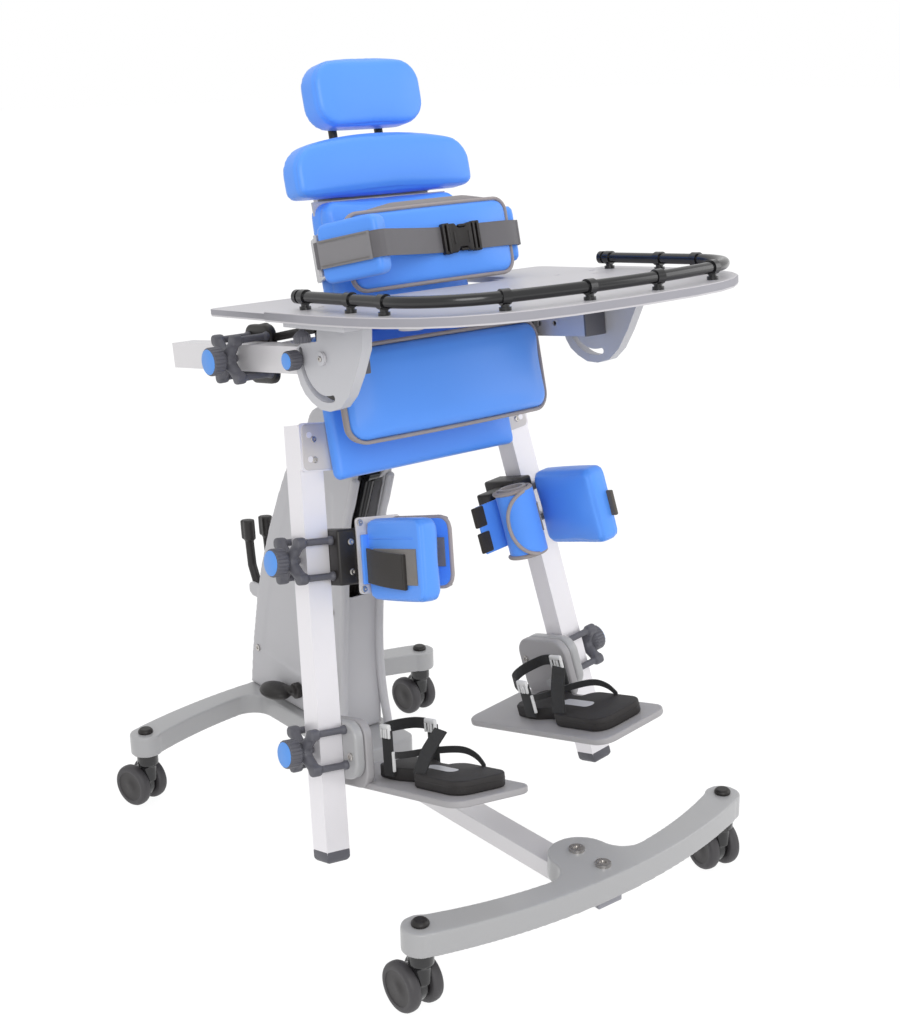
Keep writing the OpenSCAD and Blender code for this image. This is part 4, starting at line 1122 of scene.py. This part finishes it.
strap_layer("knee_strap_soft_r", strap_line, 2 * STRAP_HALF, 5.0, NEOPRENE, ("knee_strap_r",))
lining_line = [p + Vector((5.2, 1, -1)) for p in strap_line[:-3]]
strap_layer("knee_strap_lining_r", lining_line, 2 * STRAP_HALF + 2, 3.0, LINER)
edge = [Vector((p.x + 2.5, p.y, STRAP_HALF - corner_trim(p.y))) for p in strap_line]
edge += [Vector((v.x, v.y, -v.z)) for v in reversed(edge)]
piping("knee_strap_binding_r", edge, 3.1, "knee_r", KNEE_R)
hook_line = smooth_path([(60.2, -44, -36), (56.4, -66, -38), (55.4, -96, -41), (58.0, -130, -44)], 8)
hook = ribbon(hook_line, (0, 0, 46), 2.8)
put("knee_hook_tab_r", hook, KNEE_R, HOOK_TAPE, "knee_r", sharp=50)
fold = soft_box((55.6, -134, -44.5), (60.4, -128.5, 2.5), 1.6)
put("knee_hook_fold_r", fold, KNEE_R, HOOK_TAPE, "knee_r")
patch = ribbon([p + Vector((-0.8, 0, 27)) for p in strap_line if -136 < p.y < -119], (0, 0, 38), 1.4, rows=2)
put("knee_side_patch_r", patch, KNEE_R, LOOP_TAPE, "knee_r")
soft_boxes((
    ("knee_loop_tape_r", (59.4, -156, -38), (61.6, -60, 9), 0.8, "webbing", LOOP_TAPE),
    ("knee_side_strip_r", (51, -47.5, -38), (64, -43, 28), 1.6, "blue_vinyl", NEOPRENE),
    ("knee_pad_piping_r", (60.0, -150, 21.4), (61.8, -50, 23.0), 0.7, "blue_vinyl", VINYL),
), KNEE_R, "knee_r")

# Far knee: rolled wrap with a rounded flap, side strip with hook tabs
KNEE_L = knee("l")
WRAP = (86, -77)
WRAP_STEPS = 60
FLAP_MID = -5
FLAP_BACK = -160


def on_wrap(degrees, z, radius):
    a = math.radians(degrees)
    return Vector((WRAP[0] + radius * math.cos(a), WRAP[1] + radius * math.sin(a), z))


def wrap_ring(z):
    """One turn of the rolled wrap, opening a little as it goes round."""
    return [on_wrap(60 + 345 * k / WRAP_STEPS, z, 24.0 + 1.5 * k / WRAP_STEPS) for k in range(WRAP_STEPS + 1)]


roll = ribbon(wrap_ring(-51), (0, 0, 92), 5.0)
put("knee_wrap_soft_l", roll, KNEE_L, NEOPRENE, "knee_l", ("knee_strap_l",))
lining_line = [on_wrap(62 + 340 * k / WRAP_STEPS, -50, 19.6) for k in range(WRAP_STEPS + 1)]
lining = ribbon(lining_line, (0, 0, 96), 4.0)
put("knee_wrap_lining_l", lining, KNEE_L, LINER, "knee_l")


def flap_end(z):
    """Angle at which the rounded flap ends at this height."""
    return -94 + 77 * math.sqrt(max(0.0, 1 - ((z - FLAP_MID) / 46.0) ** 2))


flap = bmesh.new()
bmesh.ops.create_grid(flap, x_segments=24, y_segments=24, size=1.0)
for v in flap.verts:
    z = FLAP_MID + v.co.y * 45.0
    reach = FLAP_BACK + (flap_end(z) - FLAP_BACK) * (v.co.x + 1) / 2
    v.co = on_wrap(reach, z, 28.4)
bmesh.ops.recalc_face_normals(flap, faces=flap.faces)
thicken(flap, 3.0)
put("knee_wrap_flap_l", flap, KNEE_L, NEOPRENE, "knee_l")
rim_heights = [FLAP_MID + 45.5 * math.sin(math.radians(t)) for t in range(90, -91, -6)]
rim = [on_wrap(flap_end(z), z, 29.4) for z in rim_heights]
piping("knee_flap_binding_l", rim, 3.0, "knee_l", KNEE_L)
for label, z in (("top", 41), ("low", -51)):
    tube("knee_wrap_binding_" + label, wrap_ring(z), 3.6, 3.0, "knee_l", KNEE_L, closed=False)
tab = ribbon([on_wrap(a, -24, 29.8) for a in range(-152, -127, 3)], (0, 0, 40), 1.8)
put("knee_wrap_tab_l", tab, KNEE_L, LOOP_TAPE, "knee_l")
soft_boxes((
    ("knee_side_strip_l", (40, -47.5, -38), (134, -43.2, 31), 1.8, "blue_vinyl", NEOPRENE),
    ("knee_tab_upper_l", (122, -50.5, 2), (142, -45, 31), 2.0, "webbing", HOOK_TAPE),
    ("knee_tab_lower_l", (122, -50.5, -35), (142, -45, -6), 2.0, "webbing", HOOK_TAPE),
    ("knee_pad_tab_l", (-9, -175, -26), (-3, -155, 10), 1.8, "webbing", TAB_BROWN),
), KNEE_L, "knee_l")


# Sandals: two-part sole with a slot, heel straps with buckles, open toe strap
SOLE_MID = -159
WELT_GROW = 1.006
TOE_X = -39
STRAP_LIES = {"r": (38, 52, 54, -52), "l": (19, 62, 40, -58)}


def sandal(side):
    where = foot(side) @ move(0.103, 0, -0.050) @ HALF[side]
    body = "footplate_" + side
    front = plate_line(-44, 44, -214, -104, 24)
    heel = [(-34, -46), (-30, -20), (-20, -14), (20, -14), (30, -20), (34, -46), (33, -66), (25, -88),
            (26, -112), (-26, -112), (-25, -88), (-33, -66)]
    sole = join([plate_z(0.2, front, 18.4, 2.8, 3), plate_z(0.2, reversed(heel), 17.8, 2.4, 3)])
    put("sandal_sole_" + side, sole, where, SANDAL, body, ("sandal_" + side,), sharp=40)
    welt = [(x * WELT_GROW, SOLE_MID + (y - SOLE_MID) * WELT_GROW) for x, y in front]
    put("sandal_welt_" + side, plate_z(10.5, welt, 0.9, 0.2, 1), where, BLACK_PLASTIC, body)
    window = plate_z(17.8, plate_line(-9, 9, -152, -92, 8.5), 1.1, 0.2, 1)
    put("sandal_slot_" + side, window, where, PLATE_PAINT, body)
    lean, reach, low, back = STRAP_LIES[side]
    heel_line = [(-35, back - 8, low), (-35, back + 14, low + 1), (-24, -20, low * 0.6 + 23),
                 (0, -12, low * 0.4 + 35), (24, -20, low * 0.2 + 47), (33, -36, 58), (35, -62, 57)]
    cross_line = [(-36, -62, 30), (-31, -86, 33), (-4, -112, 37), (24, -134, 36), (37, -148, 27),
                  (42, -160, 12)]
    toe_line = [(TOE_X, -136, 15), (TOE_X + lean * 0.14, -136, 16 + reach * 0.2),
                (TOE_X + lean * 0.4, -136, 17 + reach * 0.5), (TOE_X + lean * 0.7, -137, 17 + reach * 0.76),
                (TOE_X + lean, -138, 17 + reach)]
    straps = [
        ribbon(smooth_path(heel_line, 8), (0, 0, 15), 2.2),
        ribbon(smooth_path(cross_line, 8), (0, 0, 9), 2.2),
        ribbon(smooth_path(toe_line, 8), (0, 25, 3), 2.4),
    ]
    for x, y, top in ((-36, back, low + 14), (36, -56, 66)):
        straps.append(soft_box((x - 2, y - 11, 6), (x + 2, y + 11, top), 1.4))
    put("sandal_straps_" + side, join(straps), where, WEBBING_BLACK, body, sharp=50)
    clips = []
    for x, y, z, wide in ((-38.5, back, low + 15, 10), (32.5, -56, 66, 12)):
        clips.append(soft_box((x - 3, y - wide, z), (x + 3, y + wide, z + 7), 2.2))
        for start in (-wide, -wide * 0.36, wide * 0.36 - 3, wide - 3):
            clips.append(soft_box((x - 2.6, y + start, z - 12), (x + 2.6, y + start + 3, z + 3), 1.0))
    clips.append(soft_box((-38.8, back - 14.5, 13), (-34.8, back - 11.2, 40), 0.8))
    put("sandal_buckles_" + side, join(clips), where, BUCKLE_WHITE, body)


for side in SIDES:
    sandal(side)


# Floor, light and camera
FLOOR_HALF = 30.0
CAMERA_AZIMUTH = -37.73
CAMERA_ELEVATION = 16.92
CAMERA_ROLL = -1.02
CAMERA_LENS = 53.87
CAMERA_AT = (-1.23362, -1.67853, 1.13663)


def make_stage():
    """Pale floor that takes a soft shadow and shows nearly white."""
    bm = bmesh.new()
    bmesh.ops.create_grid(bm, x_segments=2, y_segments=2, size=FLOOR_HALF)
    mesh = as_mesh("floor", bm)
    floor = add_object("floor", mesh)
    mat = bpy.data.materials.new("pale_floor")
    mat.use_nodes = True
    tree = mat.node_tree
    tree.nodes.remove(tree.nodes["Principled BSDF"])
    ray = new_node(tree, "ShaderNodeLightPath")
    seen = new_node(tree, "ShaderNodeMath", operation="ADD")
    seen_more = new_node(tree, "ShaderNodeMath", operation="ADD")
    for total in (seen, seen_more):
        total.use_clamp = True
    matt = new_node(tree, "ShaderNodeBsdfDiffuse", {"Color": (0.82, 0.82, 0.82, 1)})
    glow = new_node(tree, "ShaderNodeEmission", {"Strength": 1.12})
    pale = new_node(tree, "ShaderNodeMixShader", {"Fac": 0.84})
    final = new_node(tree, "ShaderNodeMixShader")
    wire(
        tree,
        (ray, "Is Camera Ray", seen, 0),
        (ray, "Is Glossy Ray", seen, 1),
        (seen, 0, seen_more, 0),
        (ray, "Is Transmission Ray", seen_more, 1),
        (matt, 0, pale, 1),
        (glow, 0, pale, 2),
        (seen_more, 0, final, "Fac"),
        (matt, 0, final, 1),
        (pale, 0, final, 2),
        (final, 0, tree.nodes["Material Output"], "Surface"),
    )
    mesh.materials.append(mat)


def make_world():
    world = bpy.data.worlds.new("studio")
    bpy.context.scene.world = world
    world.use_nodes = True
    tree = world.node_tree
    back = tree.nodes["Background"]
    ray = new_node(tree, "ShaderNodeLightPath")
    level = new_node(tree, "ShaderNodeMapRange", {"To Min": 0.78, "To Max": 1.0})
    wire(tree, (ray, "Is Camera Ray", level, "Value"), (level, "Result", back, "Strength"))
    set_inputs(back, {"Color": (1, 1, 1, 1)})


def lamp(name, spot, aim, size, power):
    light = bpy.data.lights.new(name, "AREA")
    light.shape = "RECTANGLE"
    light.size = size[0]
    light.size_y = size[1]
    light.energy = power
    obj = add_object(name, light)
    obj.location = spot
    obj.rotation_euler = (Vector(aim) - Vector(spot)).to_track_quat("-Z", "Y").to_euler()


def make_camera():
    """Camera at the photograph's viewing angle."""
    a, e, r = (math.radians(angle) for angle in (CAMERA_AZIMUTH, CAMERA_ELEVATION, CAMERA_ROLL))
    back = Vector((math.sin(a) * math.cos(e), -math.cos(a) * math.cos(e), math.sin(e)))
    right = Vector((math.cos(a), math.sin(a), 0))
    up = back.cross(right)
    side = right * math.cos(r) + up * math.sin(r)
    top = up * math.cos(r) - right * math.sin(r)
    data = bpy.data.cameras.new("camera")
    data.sensor_width = 36
    data.lens = CAMERA_LENS
    data.clip_start = 0.05
    cam = add_object("camera", data)
    cam.matrix_world = Matrix((
        (side.x, top.x, back.x, CAMERA_AT[0]),
        (side.y, top.y, back.y, CAMERA_AT[1]),
        (side.z, top.z, back.z, CAMERA_AT[2]),
        (0, 0, 0, 1),
    ))
    bpy.context.scene.camera = cam


make_stage()
make_world()
lamp("key", (-1.9, -3.4, 2.5), (0, 0, 0.55), (2.1, 2.1), 58)
lamp("fill", (2.2, -1.4, 1.4), (0, 0, 0.6), (1.6, 1.6), 11)
lamp("top", (0.2, 0.4, 2.8), (0, 0, 0.6), (2.0, 2.0), 8)
make_camera()
bpy.context.scene.view_settings.view_transform = "Standard"
